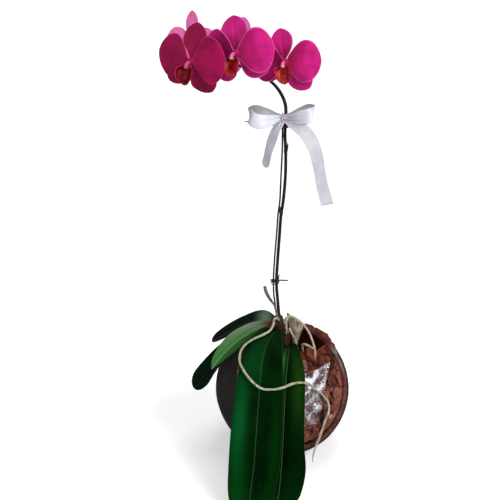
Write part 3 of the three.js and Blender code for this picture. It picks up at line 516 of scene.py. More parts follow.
# %% The husk as a turned profile
def husk_ball(rows_out=84, rows_rim=13, rows_in=52, sides=260):
    """Profile turned about the opening's axis: angle from the axis and radius for each row.

    At the upper right the outer edge is torn: it flares out, and its height jumps about.
    """
    turn = np.linspace(0, 2 * np.pi, sides, endpoint=False)
    circle = np.stack([np.cos(turn), np.sin(turn), 0 * turn], -1) * POT_RADIUS
    torn = np.exp(-((turn - TORN_AT) / TORN_REACH) ** 4)
    edge = rim_angle(turn) + 0.013 * waves(circle, 26, 3) + 0.006 * waves(circle, 6, 4)
    edge = edge + torn * (0.02 * waves(circle, 12, 5) + 0.012 * waves(circle, 4, 6))
    back = np.pi - 0.012
    out = np.linspace(0, 1, rows_out)[:, None]
    rim = np.linspace(0, 1, rows_rim + 2)[1:-1, None]
    inside = np.linspace(0, 1, rows_in)[:, None]
    angle = np.vstack([back + (edge - back) * out, edge - 0.012 * np.sin(np.pi * rim),
                       edge + (back - edge) * inside])
    wall = POT_RADIUS - CAVITY_RADIUS
    radius = np.vstack([POT_RADIUS + 0 * out, POT_RADIUS - wall * rim, CAVITY_RADIUS + 0 * inside])
    shift = np.vstack([0 * out, CAVITY_SHIFT * rim, CAVITY_SHIFT + 0 * inside])
    inner = np.vstack([0 * out, rim, 1 + 0 * inside]) + 0 * turn
    flat = np.sin(angle) * radius
    grid = in_ball(flat * np.cos(turn), flat * np.sin(turn), np.cos(angle) * radius + shift)
    outward = unit(grid - np.array([0, 0, POT_CENTRE_Z]))
    ragged = TORN_FLARE + 1.7 * waves(circle, 14, 7) + 1.1 * waves(circle, 4, 8)
    flare = torn * np.exp(-np.abs(angle - edge) / 0.09) * ragged * (1 - inner)
    grid = grid + outward * flare[..., None]
    cut = (inner > 0) & (inner < 1)
    bumps = (0.35 * waves(grid, 38, 11) + 0.1 * waves(grid, 7, 12)
             + np.where(cut, 0.5, 0.06) * waves(grid, 3.2, 13))
    grid = grid + outward * np.where(inner < 1, bumps, 0.5 * bumps)[..., None]
    grid[..., 2] = np.where(inner > 0.5, settled(grid[..., 2], POT_FLOOR_Z), settled(grid[..., 2], 0.0, 0.35))
    deep = np.where(inner < 1, 0, np.clip((angle - edge) / 0.35, 0, 1))
    return ringed_body(grid, {"inside": inner, "deep": deep}, flip=True)


# %% [markdown]
# The skin of a husk is smooth, grey-brown and nearly black, with faint fibres. Where it is cut
# its flesh shows: dull brown low down, worn beige on the right, dark red where it is torn and
# red-brown deep inside, where it is brightened as painted light in the shaded hollow. Marks on
# the points say how far in each lies, so the colours change exactly at the edge.

# %% Finish of the husk
def husk_finish():
    """Smooth grey-brown skin with faint fibres; red-brown fibre inside, brightened deep in as painted light.

    The cut edge changes as it goes up: brown and dull, then worn beige, then torn and dark red.
    """
    material, tree, surface, place = finish("husk", Roughness=0.62, Specular_IOR_Level=0.18)
    fibres = streaks(tree, place, (900, 900, 60), 0.3, 0.7)
    patches = clouds(tree, place, 34, 0.35, 0.65)
    pores = specks(tree, place, 900, 0.35)
    skin = mixed(tree, patches, (0.009, 0.0072, 0.0066), (0.02, 0.0155, 0.014))
    skin = mixed(tree, times(tree, fibres, 0.35), skin, (0.045, 0.034, 0.029))
    coarse = streaks(tree, place, (260, 260, 1100), 0.32, 0.62)
    blots = clouds(tree, place, 75, 0.42, 0.62)
    # Painted light: the fibre deep inside is brighter than the husk's own, to light the shaded hollow.
    flesh_and_painted_light = mixed(tree, coarse, (0.16, 0.022, 0.012), (0.6, 0.13, 0.065))
    torn = mixed(tree, coarse, (0.028, 0.005, 0.003), (0.095, 0.016, 0.009))
    torn = mixed(tree, times(tree, blots, 0.7), torn, (0.17, 0.042, 0.026))
    worn = mixed(tree, coarse, (0.1, 0.06, 0.048), (0.27, 0.19, 0.155))
    low = mixed(tree, coarse, (0.05, 0.016, 0.011), (0.2, 0.062, 0.04))
    low = mixed(tree, times(tree, blots, 0.75), low, (0.045, 0.022, 0.017))
    level = add(tree, "ShaderNodeSeparateXYZ", Vector=place).outputs["Z"]
    wear = times(tree, remap(tree, level, 0.112, 0.13), remap(tree, blots, 0, 1, 1, 0.4))
    edge = mixed(tree, wear, low, worn)
    edge = mixed(tree, remap(tree, level, 0.14, 0.152), edge, torn)
    colour = mixed(tree, remap(tree, mark(tree, "inside"), 0.0, 0.12), skin, edge)
    colour = mixed(tree, remap(tree, mark(tree, "deep"), 0.1, 0.8), colour, flesh_and_painted_light)
    height = sums(tree, "ADD", times(tree, fibres, 0.5), times(tree, coarse, mark(tree, "inside")))
    height = sums(tree, "SUBTRACT", height, times(tree, pores, 0.2))
    coat(tree, surface, colour, fibres, 0.48, 0.74)
    relief(tree, surface, height, 0.0005)
    return material


piece("husk_pot", [husk_ball()], husk_finish(), replaces=["pot"])

# %% [markdown]
# Loose fibres stand out of the cut edge of a husk, most of them at the lower right. Blender's
# own hair would have to be turned into a mesh, so each is made as a thin bent hair of a few
# faces, rooted in the wall and leaning along it.


# %% Loose fibres
def fibre_tufts(count=420, seed=21):
    """Hairs at the rim: a three-sided tapering tube along root + t x lean + t^2 x droop."""
    rng = np.random.default_rng(seed)
    turn = np.where(rng.random(count) < 0.55, rng.normal(-0.75, 0.5, count),
                    rng.uniform(0, 2 * np.pi, count))
    angle = rim_angle(turn) + rng.uniform(0.0, 0.05, count)
    radius = rng.uniform(CAVITY_RADIUS + 1, POT_RADIUS - 0.3, count)
    flat = np.sin(angle) * radius
    root = in_ball(flat * np.cos(turn), flat * np.sin(turn), np.cos(angle) * radius + 0.6)
    step = np.stack([-np.sin(turn), np.cos(turn)], -1) * rng.choice([-1, 1], (count, 1))
    tangent = in_ball(step[:, 0], step[:, 1], 0 * turn) - opening[:3, 3]
    outward = unit(root - np.array([0, 0, POT_CENTRE_Z]))
    size = rng.uniform(3, 9, (count, 1))
    lean = unit(tangent * rng.uniform(0.5, 1.2, (count, 1)) + outward * rng.uniform(0.0, 0.45, (count, 1))
                + rng.normal(0, 0.25, (count, 3))) * size
    droop = rng.normal(0, 0.3, (count, 3)) * size + np.array([0, 0, -0.25]) * size
    t = np.linspace(0, 1, 5)[None, :, None]
    line = root[:, None] + lean[:, None] * t + droop[:, None] * t ** 2
    across = unit(np.cross(lean, outward))[:, None]
    upward = unit(np.cross(across[:, 0], lean))[:, None]
    width = (rng.uniform(0.07, 0.16, (count, 1, 1)) * (1 - 0.85 * t))
    corner = [math.radians(a) for a in (90, 210, 330)]
    rings = np.stack([line + (across * math.cos(a) + upward * math.sin(a)) * width for a in corner], 2)
    return many_bodies(rings, {"tint": np.repeat(rng.random(count), 15)})


def fibre_finish():
    """Dull brown hairs, some paler."""
    material, tree, surface, place = finish("husk_fibre", Roughness=0.75)
    colour = mixed(tree, mark(tree, "tint"), (0.06, 0.025, 0.016), (0.22, 0.13, 0.085))
    paint(tree, surface, Base_Color=colour, Roughness=clouds(tree, place, 400, 0.0, 1.2))
    return material


piece("husk_fibres", [fibre_tufts()], fibre_finish())

# %% [markdown]
# ## The bark
#
# The ball is packed with bark. The frame's own bark body stays as the bed, in a dark finish,
# and a few hundred broken chips lie on it. They could be let fall, but set on spirals they
# stay close to the bed. A chip is a boxy egg (a superellipsoid), knocked out of shape by soft
# bumps, with its grain along its longest side. Chips that would touch a root, a leaf or the
# stem are left out; under the film they lie low.

# %% Where chips may lie
BARK_FACE = 57.0         # height of the bark's face over the ball's middle
BARK_FACE_DOME = 492.0   # a larger number makes the face flatter
BARK_TOP_Z = 146.0
BARK_TOP_SLOPE = 0.5
CHIP_BLUNTNESS = 0.45    # 1 is an egg and 0 is a box


def bark_face(u, v):
    """Height of the bark over the ball's middle: a shallow dome."""
    return BARK_FACE - (u ** 2 + v ** 2) / BARK_FACE_DOME


def node_tree_of(names):
    """A search tree over the frame's own nodes, for distances to them."""
    points, faces = [], []
    for name in names:
        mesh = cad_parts[name].data
        start = len(points)
        points += [vertex.co.copy() for vertex in mesh.vertices]
        faces += [[start + k for k in face.vertices] for face in mesh.polygons]
    return BVHTree.FromPolygons(points, faces)


def spiral(count, radius):
    """Evenly spread points of a disc: each turns on by the golden angle."""
    k = np.arange(count)
    distance = np.sqrt((k + 0.5) / count) * radius
    turn = k * np.pi * (3 - math.sqrt(5))
    return distance * np.cos(turn), distance * np.sin(turn)


def chip_layer(rng, count, radius, length, width, thickness, lift, lowest=0.0):
    """One layer of chips on the bark's face: places, outward directions, sizes and lifts."""
    u, v = spiral(count, radius)
    u, v = u + rng.normal(0, 1.5, count), v + rng.normal(0, 1.5, count)
    kept = np.hypot(u, v) >= lowest
    u, v = u[kept], v[kept]
    place = in_ball(u, v, bark_face(u, v))
    size = np.stack([rng.uniform(*span, len(u)) for span in (length, width, thickness)], -1)
    return place, unit(place - in_ball(0 * u, 0 * v, 0 * u - 120)), size, rng.uniform(*lift, len(u))


def top_layer(rng, count=210):
    """Chips on the level top beside the stem and on the slope behind it."""
    x, y = spiral(count, 64)
    slope = np.where(y > -20, BARK_TOP_SLOPE, 0)
    place = np.stack([x, y, BARK_TOP_Z - slope * (y + 20)], -1)
    size = np.stack([rng.uniform(*span, count) for span in ((8, 20), (6, 12), (2.4, 5))], -1)
    return place, unit(np.stack([0 * x, slope, 1 + 0 * x], -1)), size, rng.uniform(-1.0, 0.6, count)


def chip_sites(rng):
    """All layers: big slabs, smaller chips between them, and a raised row along the husk's wall."""
    face = [chip_layer(rng, 62, 66, (20, 38), (13, 21), (4, 6.5), (-0.8, 1.0)),
            chip_layer(rng, 300, 76, (7, 17), (5, 11), (2.4, 5), (-0.6, 1.2)),
            chip_layer(rng, 330, 76, (12, 22), (7, 12), (3, 6), (2.2, 5.0), lowest=62)]
    place, out, size, lift = (np.concatenate(rows) for rows in zip(*face))
    top = top_layer(rng)
    tu, tv, tw = in_opening(top[0])
    behind, below = tw < bark_face(tu, tv), place[:, 2] < BARK_TOP_Z - 2
    return [np.concatenate([rows[below], more[behind]])
            for rows, more in zip((place, out, size, lift), top)]


print("places for chips:", len(chip_sites(np.random.default_rng(8))[0]))


# %% Broken chips
def kept_inside(points, limit=CAVITY_RADIUS - 0.9):
    """Points outside a ball a little smaller than the husk's inside are drawn back onto it."""
    centre = in_ball(0.0, 0.0, CAVITY_SHIFT)
    away = points - centre
    distance = np.linalg.norm(away, axis=-1, keepdims=True)
    return centre + away * np.minimum(1, limit / distance)


def chip_solids(seed=8):
    """Boxy eggs: each cosine and sine is raised to CHIP_BLUNTNESS, then bumped and turned."""
    rng = np.random.default_rng(seed)
    sites, out, size, lift = chip_sites(rng)
    count = len(sites)
    spoken_for = node_tree_of(["root_long", "root_arching", "root_slant", "root_stub", "stake",
                               "dry_sheath", "crown", "leaf_front", "leaf_front_right"])
    film_tree = node_tree_of(["liner_film"])
    nearest = lambda tree: np.array([tree.find_nearest(Vector(p * MM))[3] / MM for p in sites])
    away_from_film = nearest(film_tree)
    lift = np.where(away_from_film < size[:, 0] * 0.55 + 1, -size[:, 2] / 2 - 1.2, lift)
    keep = (nearest(spoken_for) > size[:, 0] * 0.3 + 1.2) & (sites[:, 2] > POT_FLOOR_Z + 6)
    sites = sites + out * lift[:, None]
    lengthwise = unit(np.cross(out, rng.normal(size=(count, 3))))
    out = unit(out + rng.normal(0, 0.12, (count, 3)))
    sideways = unit(np.cross(out, lengthwise))
    lengthwise = np.cross(sideways, out)
    polar = np.radians([-84, -58, -34, -12, 12, 34, 58, 84])
    turn = np.linspace(0, 2 * np.pi, 16, endpoint=False)
    pp, tt = np.meshgrid(polar, turn, indexing="ij")
    power = lambda value: np.sign(value) * np.abs(value) ** CHIP_BLUNTNESS
    egg = np.stack([power(np.cos(pp)) * power(np.cos(tt)), power(np.cos(pp)) * power(np.sin(tt)),
                    power(np.sin(pp))], -1).reshape(-1, 3)
    local = egg[None] * size[:, None] / 2
    apart = local + np.arange(count)[:, None, None] * 37.0
    local = local * (1 + 0.2 * waves(apart, 10, 31)[..., None])
    local[..., 2] += 0.06 * size[:, None, 0] * waves(apart + 5, 14, 32) + 0.25 * waves(apart, 4, 33)
    axes = np.stack([lengthwise, sideways, out], 1)
    solid = kept_inside((sites[:, None] + local @ axes)[keep])
    local = local[keep]
    kept, per = len(solid), egg.shape[0]
    print("bark chips:", kept)
    marks = {"tint": np.repeat(rng.random(kept), per), "grain_y": local[..., 1].reshape(-1),
             "grain_x": (local[..., 0] + np.arange(kept)[:, None] * 40).reshape(-1),
             "grain_z": local[..., 2].reshape(-1)}
    return many_bodies(solid.reshape(kept, len(polar), len(turn), 3), marks, flip=True)


# %% [markdown]
# Bark is fibrous along its grain and corky between, and no two chips have the same shade.
# Each chip carries its shade and its place along its own grain as marks on its points, so one
# finish gives each its own fibres. Chips towards the right and low down are paler: partly dust,
# partly painted light where they lie in shade.

# %% Finish of the bark
def bark_finish():
    """Fibres along the grain, corky pits, one shade for each chip, paler right and low: dust and painted
    light.
    """
    material, tree, surface, place = finish("bark_chip", Roughness=0.8, Specular_IOR_Level=0.12)
    grain = joined_vector(tree, mark(tree, "grain_x"), mark(tree, "grain_y"), mark(tree, "grain_z"))
    fibres = streaks(tree, grain, (0.16, 1.7, 1.7), 0.3, 0.66)
    cork = clouds(tree, place, 160, 0.42, 0.62)
    tint = mark(tree, "tint")
    parts = add(tree, "ShaderNodeSeparateXYZ", Vector=place).outputs
    rightwards = sums(tree, "SUBTRACT", parts["X"], times(tree, parts["Z"], 0.9))
    fresh = mixed(tree, fibres, mixed(tree, tint, (0.035, 0.006, 0.004), (0.09, 0.015, 0.009)),
                  mixed(tree, tint, (0.14, 0.026, 0.015), (0.27, 0.06, 0.035)))
    # Painted light and dust: chips to the right and low down are paler, partly to lift their shade.
    dusty_and_painted_light = mixed(tree, fibres, mixed(tree, tint, (0.1, 0.027, 0.019), (0.21, 0.062, 0.041)),
                  mixed(tree, tint, (0.32, 0.1, 0.068), (0.58, 0.23, 0.155)))
    colour = mixed(tree, remap(tree, rightwards, -0.062, -0.028), fresh, dusty_and_painted_light)
    colour = mixed(tree, times(tree, cork, 0.25), colour, (0.06, 0.014, 0.009))
    pale = remap(tree, tint, 0.93, 0.97)
    colour = mixed(tree, times(tree, pale, fibres), colour, (0.5, 0.32, 0.27))
    coat(tree, surface, colour, fibres, 0.9, 0.62)
    relief(tree, surface, sums(tree, "SUBTRACT", fibres, cork), 0.0006)
    return material


def bed_finish():
    """The bed between the chips: dark crumbs and dust."""
    material, tree, surface, place = finish("bark_bed", Roughness=0.9, Specular_IOR_Level=0.2)
    crumbs = specks(tree, place, 420, 0.5)
    patches = clouds(tree, place, 90, 0.4, 0.6)
    colour = mixed(tree, crumbs, (0.035, 0.01, 0.007), (0.13, 0.036, 0.022))
    colour = mixed(tree, patches, colour, (0.18, 0.045, 0.026))
    coat(tree, surface, colour, crumbs, 0.95, 0.75)
    relief(tree, surface, sums(tree, "ADD", crumbs, patches), 0.0016)
    return material


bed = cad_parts["bark"]
bed.data.materials.clear()
bed.data.materials.append(bed_finish())
piece("bark_chips", [chip_solids()], bark_finish())

# %% [markdown]
# ## The clear film
#
# A crumpled piece of clear film lies over the lower right of the bark and catches the light
# in sharp, broken facets. A cloth simulation would give soft folds. Waves that turn at once
# give flat facets and straight creases: a triangle wave does that.

# %% The crumpled film
FILM_GAP = 2.4           # over the bark's face
FILM_THICKNESS = 0.3


def film_place(s, t):
    """Where the film lies on the bark's face: its right edge follows the pot, its left is free."""
    right = along([30, 36, 42, 44, 50, 57], t)
    return -14 + (right + 14) * s, (-58 + 6 * s) + ((10 + 15 * s * s) - (-58 + 6 * s)) * t


def folds(x, y, seed, count=7):
    """Sharp creases: the sum of triangle waves in random directions across the sheet."""
    rng = np.random.default_rng(seed)
    total = np.zeros_like(x)
    for turn, size, start in zip(rng.uniform(0, np.pi, count), rng.uniform(9, 26, count), rng.random(count)):
        phase = (x * math.cos(turn) + y * math.sin(turn)) / size + start
        total += np.abs((phase % 2) - 1) * size / 26 - size / 52
    return total / math.sqrt(count)


def facets(x, y, seed, count=6):
    """Which way each flat facet tips: rising sides of the waves count +1 and falling sides -1."""
    rng = np.random.default_rng(seed)
    total = np.zeros_like(x)
    for turn, size, start in zip(rng.uniform(0, np.pi, count), rng.uniform(5, 15, count), rng.random(count)):
        bent = 0.35 * np.sin((x * math.sin(turn) - y * math.cos(turn)) / 6 + 7 * start)
        phase = (x * math.cos(turn) + y * math.sin(turn)) / size + start + bent
        total += np.tanh(14 * (np.abs(phase % 2 - 1) - 0.5))
    return total / count


def film_body(rows=110, columns=84):
    """The film's grid over the bark's face, lifted by its creases."""
    s, t = np.meshgrid(np.linspace(0, 1, columns), np.linspace(0, 1, rows), indexing="ij")
    ragged = 1.6 * waves(np.stack([s * 60, t * 70, 0 * s], -1), 20, 5)
    u, v = film_place(s, t)
    v = v + ragged * (2 * t - 1) ** 5
    u = u + ragged * (2 * s - 1) ** 5
    ripple = 1.3 * np.sin(9 * s + 5 * t) * np.cos(11 * t - 3 * s)
    grid = in_ball(u, v, bark_face(u, v) + FILM_GAP + ripple + 2.1 * folds(u, v, 17))
    rim = np.minimum(np.minimum(s, 1 - s), np.minimum(t, 1 - t))
    return thin_body(grid, FILM_THICKNESS * np.clip(rim * 40, 0.15, 1),
                     {"facet": facets(u, v, 23), "up": t, "right": s})


# %% [markdown]
# Clear film hardly shows until it catches a lamp. At this size lamps alone give few glints,
# so some facets, more of them higher up, carry painted glints: whiter and less see-through.
# The film is also less see-through at a flat angle.


# %% Finish of the film
def film_finish():
    """Clear film: nearly clear on most facets, with painted white glints on some, more higher up."""
    material, tree, surface, place = finish(
        "clear_film", Base_Color=(0.86, 0.88, 0.9, 1), Roughness=0.1, IOR=1.5, Specular_IOR_Level=0.9,
        Coat_Weight=0.6, Coat_Roughness=0.05)
    slant = add(tree, "ShaderNodeFresnel", IOR=1.6).outputs[0]
    veil = clouds(tree, place, 120, 0.45, 0.7)
    facet = mark(tree, "facet")
    upper = remap(tree, mark(tree, "up"), 0.3, 0.75, 0.0, 0.2)
    # Painted highlights: facets that tip one way, more of them higher up, become white glints.
    painted_glint = remap(tree, sums(tree, "ADD", facet, upper), 0.32, 0.5)
    haze = remap(tree, sums(tree, "ADD", facet, upper), -0.5, 0.3, 0.08, 0.6)
    crease = remap(tree, unsigned(tree, facet), 0.12, 0.0, 0.0, 0.4)
    alpha = sums(tree, "ADD", haze, times(tree, painted_glint, 0.85))
    alpha = sums(tree, "ADD", alpha, times(tree, slant, 0.6))
    alpha = sums(tree, "ADD", alpha, sums(tree, "ADD", crease, times(tree, veil, 0.12)))
    margin = remap(tree, mark(tree, "right"), 0.96, 0.7, 0.2, 1.0)
    alpha = times(tree, remap(tree, alpha, 0.0, 1.25, 0.05, 0.97), margin)
    cool = clouds(tree, place, 170, 0.42, 0.58)
    colour = mixed(tree, painted_glint, mixed(tree, cool, (0.34, 0.27, 0.26), (0.5, 0.45, 0.52)),
                   mixed(tree, cool, (0.7, 0.73, 0.84), (0.98, 0.98, 1.0)))
    paint(tree, surface, Alpha=alpha, Base_Color=colour, Roughness=remap(tree, veil, 0, 1, 0.06, 0.2))
    relief(tree, surface, sums(tree, "ADD", facet, clouds(tree, place, 300, 0.4, 0.6)), 0.0004)
    return material


piece("film", [film_body()], film_finish(), replaces=["liner_film"])

# %% [markdown]
# ## Leaves
#
# A moth orchid's leaf is a thick strap with a furrow along its middle, a keel below it and
# fine parallel veins. It is made as a strip along a curve. The furrow is a narrow dip, and
# slow waves keep the blade from looking machined. The blade is thickest in the middle and
# rounds off to its margin and to its tip. The curves are those of the leaves in the frame.

# %% Leaf curves
LEAF_THICKNESS = 1.3
LEAF_TIP = 0.07          # share of the length over which the tip rounds off
LEAVES = {
    "leaf_front": {
        "points": [(-4, -24, 177), (-13, -38, 181), (-22, -54, 175), (-28.5, -73, 160), (-32, -91, 138),
                   (-35, -110, 105), (-37.5, -125, 77), (-40, -139, 48), (-43.5, -151, 25), (-46, -162, 11),
                   (-48, -174, 4.2), (-49.5, -187, 1.4)],
        "half_widths": [6, 13, 20.5, 25.5, 29, 31, 31.5, 31, 28.5, 24, 16, 2],
        "across": [(0.9, -0.35, -0.1), (0.98, -0.15, -0.1), (1, 0, 0), (1, 0, 0), (1, 0.05, 0), (1, 0.12, 0)],
        "lift": [3, 4, 4.5, 4, 3, 2.5, 1],
    },
    "leaf_front_right": {
        "points": [(4, -26, 159), (6.5, -38, 161), (4.5, -54, 152), (2, -69, 138), (0, -84, 118),
                   (-2, -102, 91), (-4, -117, 64), (-6, -130, 38), (-9, -143, 14.5), (-11.5, -153, 5.2),
                   (-13.5, -165, 1.3)],
        "half_widths": [6, 11, 18, 23.5, 25, 25.5, 27, 30, 26, 17, 2],
        "across": [(0.95, 0.3, 0), (1, 0.05, 0), (1, 0, 0), (1, 0, 0), (1, 0.08, 0)],
        "lift": [3, 3, 2.5, 2.5, 2, 1],
    },
    "leaf_left_pale": {
        "points": [(-8, -21, 184), (-17, -24, 187.5), (-29, -27, 186), (-43, -31, 181), (-63, -37, 169.5),
                   (-80, -42, 153.5), (-89, -45, 143), (-95, -46.5, 133.5)],
        "half_widths": [4.5, 6.5, 9.5, 12.5, 13.8, 10.5, 6.5, 1],
        "across": [(0, -0.8, 0.5), (-0.3, -0.5, 0.75), (-0.5, -0.2, 0.84), (-0.6, -0.15, 0.8)],
        "lift": [2, 2, 2.5, 2, 1],
    },
    "leaf_left_high": {
        "points": [(-9, -17, 187), (-15, -16, 191), (-23, -14, 193), (-32, -12, 192), (-44, -9, 187.5),
                   (-61, -5, 178.5), (-79, 0, 166), (-97, 4, 152.5)],
        "half_widths": [4.5, 7.5, 11, 13.5, 14, 14, 13, 9],
        "across": [(0.1, -0.95, -0.3), (0.1, -0.9, -0.4), (0, -0.95, -0.3), (0, -0.95, -0.28),
                   (0.1, -0.97, -0.2)],
        "lift": [2, 2.5, 2, 1.5, 1],
    },
    "leaf_left_low": {
        "points": [(-8, -20, 162), (-22, -17, 169.3), (-42, -12.5, 169), (-62, -10.5, 159.5),
                   (-84, -12, 139.5), (-101, -14, 119), (-112, -16.5, 104), (-119.5, -19, 90.5)],
        "half_widths": [5, 7.5, 10, 12.5, 13.5, 13.8, 13, 7],
        "across": [(0.1, -1, 0), (0.1, -0.95, -0.1), (0.45, -0.7, -0.35), (0.72, -0.4, -0.52)],
        "lift": [2, 2.5, 2, 1.5, 1],
    },
}
for name, spec in LEAVES.items():
    print(name, round(length_of(spec["points"])), "mm long,", 2 * max(spec["half_widths"]), "mm wide")


# %% Leaf blades
def leaf_body(name, rows=150, columns=37):
    """Strip + furrow (a narrow dip at v = 0) + slow waves that grow towards the margin.

    Over the last LEAF_TIP of its length the width falls as a quarter ellipse to a rounded tip.
    """
    spec = LEAVES[name]
    seed = len(name) + int(spec["points"][-1][0])
    length = length_of(np.array(spec["points"], float))
    wide = max(spec["half_widths"])

    def ripple(u, v):
        """Height over the blade: furrow, veins and slow waves, none at the ends."""
        flat = np.stack([u * length, v * wide, 0 * u], -1)
        margin = np.clip(np.abs(v), 0, 1) ** 2
        ends = np.clip(np.minimum(u, 1 - u) * 12, 0, 1)
        furrow = -0.85 * np.exp(-(v * wide / 1.5) ** 2) - 0.5 * np.exp(-(v * wide / 5) ** 2)
        veins = 0.05 * np.cos(v * wide * 2.4) * (1 - margin)
        return ends * (furrow + veins + 0.7 * margin * waves(flat, 60, seed % 97)
                       + 0.22 * waves(flat, 22, 7))

    grid, u, v = strap_grid(**spec, rows=rows, columns=columns, ripple=ripple)
    tip = np.clip((u - 1 + LEAF_TIP) / LEAF_TIP, 0, 1)
    centre = grid[:, columns // 2][:, None]
    grid = centre + (grid - centre) * np.sqrt(1 - 0.96 * tip ** 2)[..., None]
    grid[..., 2] = settled(grid[..., 2], 0.85, 0.25)
    round_off = np.sqrt(np.clip(1 - np.abs(v) ** 7, 0, 1)) * (1 + 0.35 * np.exp(-(v * wide / 2.5) ** 2))
    ends = np.clip(np.minimum(u, 1 - u) * length / 1.5, 0, 1) ** 0.5
    return thin_body(grid, LEAF_THICKNESS * round_off * ends,
                     {"along": u, "across": v, "sideways": v * along(spec["half_widths"], u)})


# %% [markdown]
# A leaf is dark and waxy above and duller below, with fine lines along it. The patterns read
# the marks of the blade, so the lines follow its bends. Its faint shine is tinted green,
# because a white one would make so dark a leaf look grey. Most lighter patches on the blades
# are painted light: highlights and lit stretches where a blade faces the lamps.

# %% Finish of the leaves
def leaf_finish(name, top_dark, top_light, below, rib, blush=None, roughness=0.36, tints_and_painted_light=()):
    """Waxy green: parallel veins, a pale furrow line and margin, a duller underside.

    Blush is a colour at the leaf's foot. Each patch is a colour, where it lies along and
    across the blade, and how far it reaches both ways. Most patches are painted light, as
    highlights and lit stretches; a few are the leaf's own tint.
    """
    material, tree, surface, place = finish(
        name, Specular_IOR_Level=0.2, Specular_Tint=(0.02, 0.26, 0.085, 1))
    u, v, across = mark(tree, "along"), mark(tree, "across"), mark(tree, "sideways")
    lines = streaks(tree, joined_vector(tree, times(tree, u, 2.2), across), (1, 1.15, 1), 0.36, 0.64)
    fine = streaks(tree, joined_vector(tree, times(tree, u, 9), across), (1, 4.2, 1), 0.3, 0.7)
    patches = clouds(tree, place, 24, 0.36, 0.66)
    colour = mixed(tree, patches, top_dark, top_light)
    colour = mixed(tree, times(tree, lines, 0.4), colour, top_light)
    underside = mixed(tree, lines, below, tuple(0.7 * value for value in below))
    colour = mixed(tree, remap(tree, mark(tree, "under"), 0.5, 0.9), colour, underside)
    # Patches: mostly painted light, as highlights and lit stretches, and a few tints of the leaf's own.
    for shade, (at_u, at_v, long, wide) in tints_and_painted_light:
        near_u = remap(tree, unsigned(tree, sums(tree, "SUBTRACT", u, at_u)), long, 0.0)
        near_v = remap(tree, unsigned(tree, sums(tree, "SUBTRACT", v, at_v)), wide, 0.0)
        colour = mixed(tree, times(tree, near_u, near_v), colour, shade)
    furrow = remap(tree, unsigned(tree, across), 0.95, 0.25)
    edge = remap(tree, unsigned(tree, v), 0.972, 0.996)
    colour = mixed(tree, times(tree, sums(tree, "MAXIMUM", furrow, edge), 0.8), colour, rib)
    if blush:
        foot = remap(tree, sums(tree, "ADD", u, times(tree, fine, 0.08)), 0.44, 0.16)
        colour = mixed(tree, foot, colour, blush)
    dust = specks(tree, place, 700, 0.22)
    rough = sums(tree, "ADD", remap(tree, patches, 0, 1, roughness - 0.06, roughness + 0.05),
                 times(tree, dust, 0.2))
    paint(tree, surface, Base_Color=colour, Roughness=rough)
    relief(tree, surface, sums(tree, "ADD", times(tree, fine, 0.35), lines), 0.00012)
    return material


# Painted light: all four patches are lighter stretches where the blade faces the lamps; the third is a
# sea-green painted highlight.
leaf_green = leaf_finish(
    "leaf_green", (0.0003, 0.0045, 0.0003), (0.0008, 0.0125, 0.001), (0.01, 0.05, 0.012),
    (0.02, 0.065, 0.022), tints_and_painted_light=[((0.001, 0.03, 0.004), (0.28, -0.3, 0.17, 0.75)),
                ((0.001, 0.036, 0.004), (0.74, -0.62, 0.24, 0.7)),
                ((0.002, 0.068, 0.013), (0.5, -0.72, 0.24, 0.5)),
                ((0.0005, 0.02, 0.001), (0.6, 0.75, 0.3, 0.3))])
# The first patch is the leaf's own olive tint; the second is a painted highlight.
leaf_olive = leaf_finish(
    "leaf_olive", (0.0002, 0.0032, 0.0002), (0.0007, 0.009, 0.0006), (0.012, 0.04, 0.008), (0.05, 0.1, 0.035),
    tints_and_painted_light=[((0.009, 0.036, 0.002), (0.33, 0.65, 0.27, 0.6)),
                ((0.03, 0.12, 0.022), (0.25, -0.32, 0.15, 0.26))])
SHADED = [(0.0012, 0.003, 0.0014), (0.004, 0.0095, 0.0045), (0.01, 0.024, 0.012), (0.012, 0.025, 0.013)]
leaf_shaded = leaf_finish("leaf_shaded", *SHADED)
# Shaded colours as painted shade; the grey-green patch by the stem is a painted sheen, and the leaf darkens
# towards its tip.
leaf_high = leaf_finish("leaf_high", *SHADED, tints_and_painted_light=[
    ((0.1, 0.16, 0.1), (0.3, 0.0, 0.26, 2.2)), ((0.0015, 0.003, 0.0018), (0.8, 0.0, 0.4, 2.2))])
# The two grey-green patches are painted sheen.
leaf_pale = leaf_finish(
    "leaf_pale", (0.034, 0.165, 0.036), (0.06, 0.27, 0.068), (0.055, 0.2, 0.05), (0.14, 0.3, 0.12),
    blush=(0.12, 0.045, 0.04), roughness=0.46, tints_and_painted_light=[
        ((0.17, 0.22, 0.15), (0.42, 0.8, 0.32, 0.75)), ((0.16, 0.2, 0.13), (0.3, -0.2, 0.16, 1.2))])
leaf_looks = {"leaf_front": (leaf_green, "leaf_dark"), "leaf_front_right": (leaf_olive, "leaf_dark"),
              "leaf_left_pale": (leaf_pale, "leaf_pale"), "leaf_left_high": (leaf_high, "leaf_dark"),
              "leaf_left_low": (leaf_shaded, "leaf_dark")}
for name, (look, slot) in leaf_looks.items():
    piece(name + "_blade", [leaf_body(name)], look, replaces=[name])

# %% [markdown]
# ## The stem and its sheaths
#
# The short stem stands in the bark. The feet of old leaves wrap it as brown, papery,
# overlapping scales, and the stub of an earlier spike stands beside the new one. Scales could
# be cut out of the stem, but set on it as curved strips they throw real shadows. Each strip
# lies a little off the stem, and its margins are torn.

# %% Stem, sheaths and stub
CROWN_POINTS = [(2, -19, 112), (1.5, -19.5, 135), (0.5, -20, 156), (-0.8, -20, 171), (-3.6, -19.4, 185),
                (-6.2, -18.2, 199)]
CROWN_RADII = [7, 8.5, 9, 8.4, 6.4, 3.9]
STUB_POINTS = [(-7.5, -19.6, 192), (-9.6, -20.8, 203), (-12.5, -21.2, 213), (-19.6, -21, 224),
               (-23.5, -21, 232), (-25.6, -21, 240)]
STUB_RADII = [1.6, 1.6, 1.4, 1.9, 2.3, 2.0]


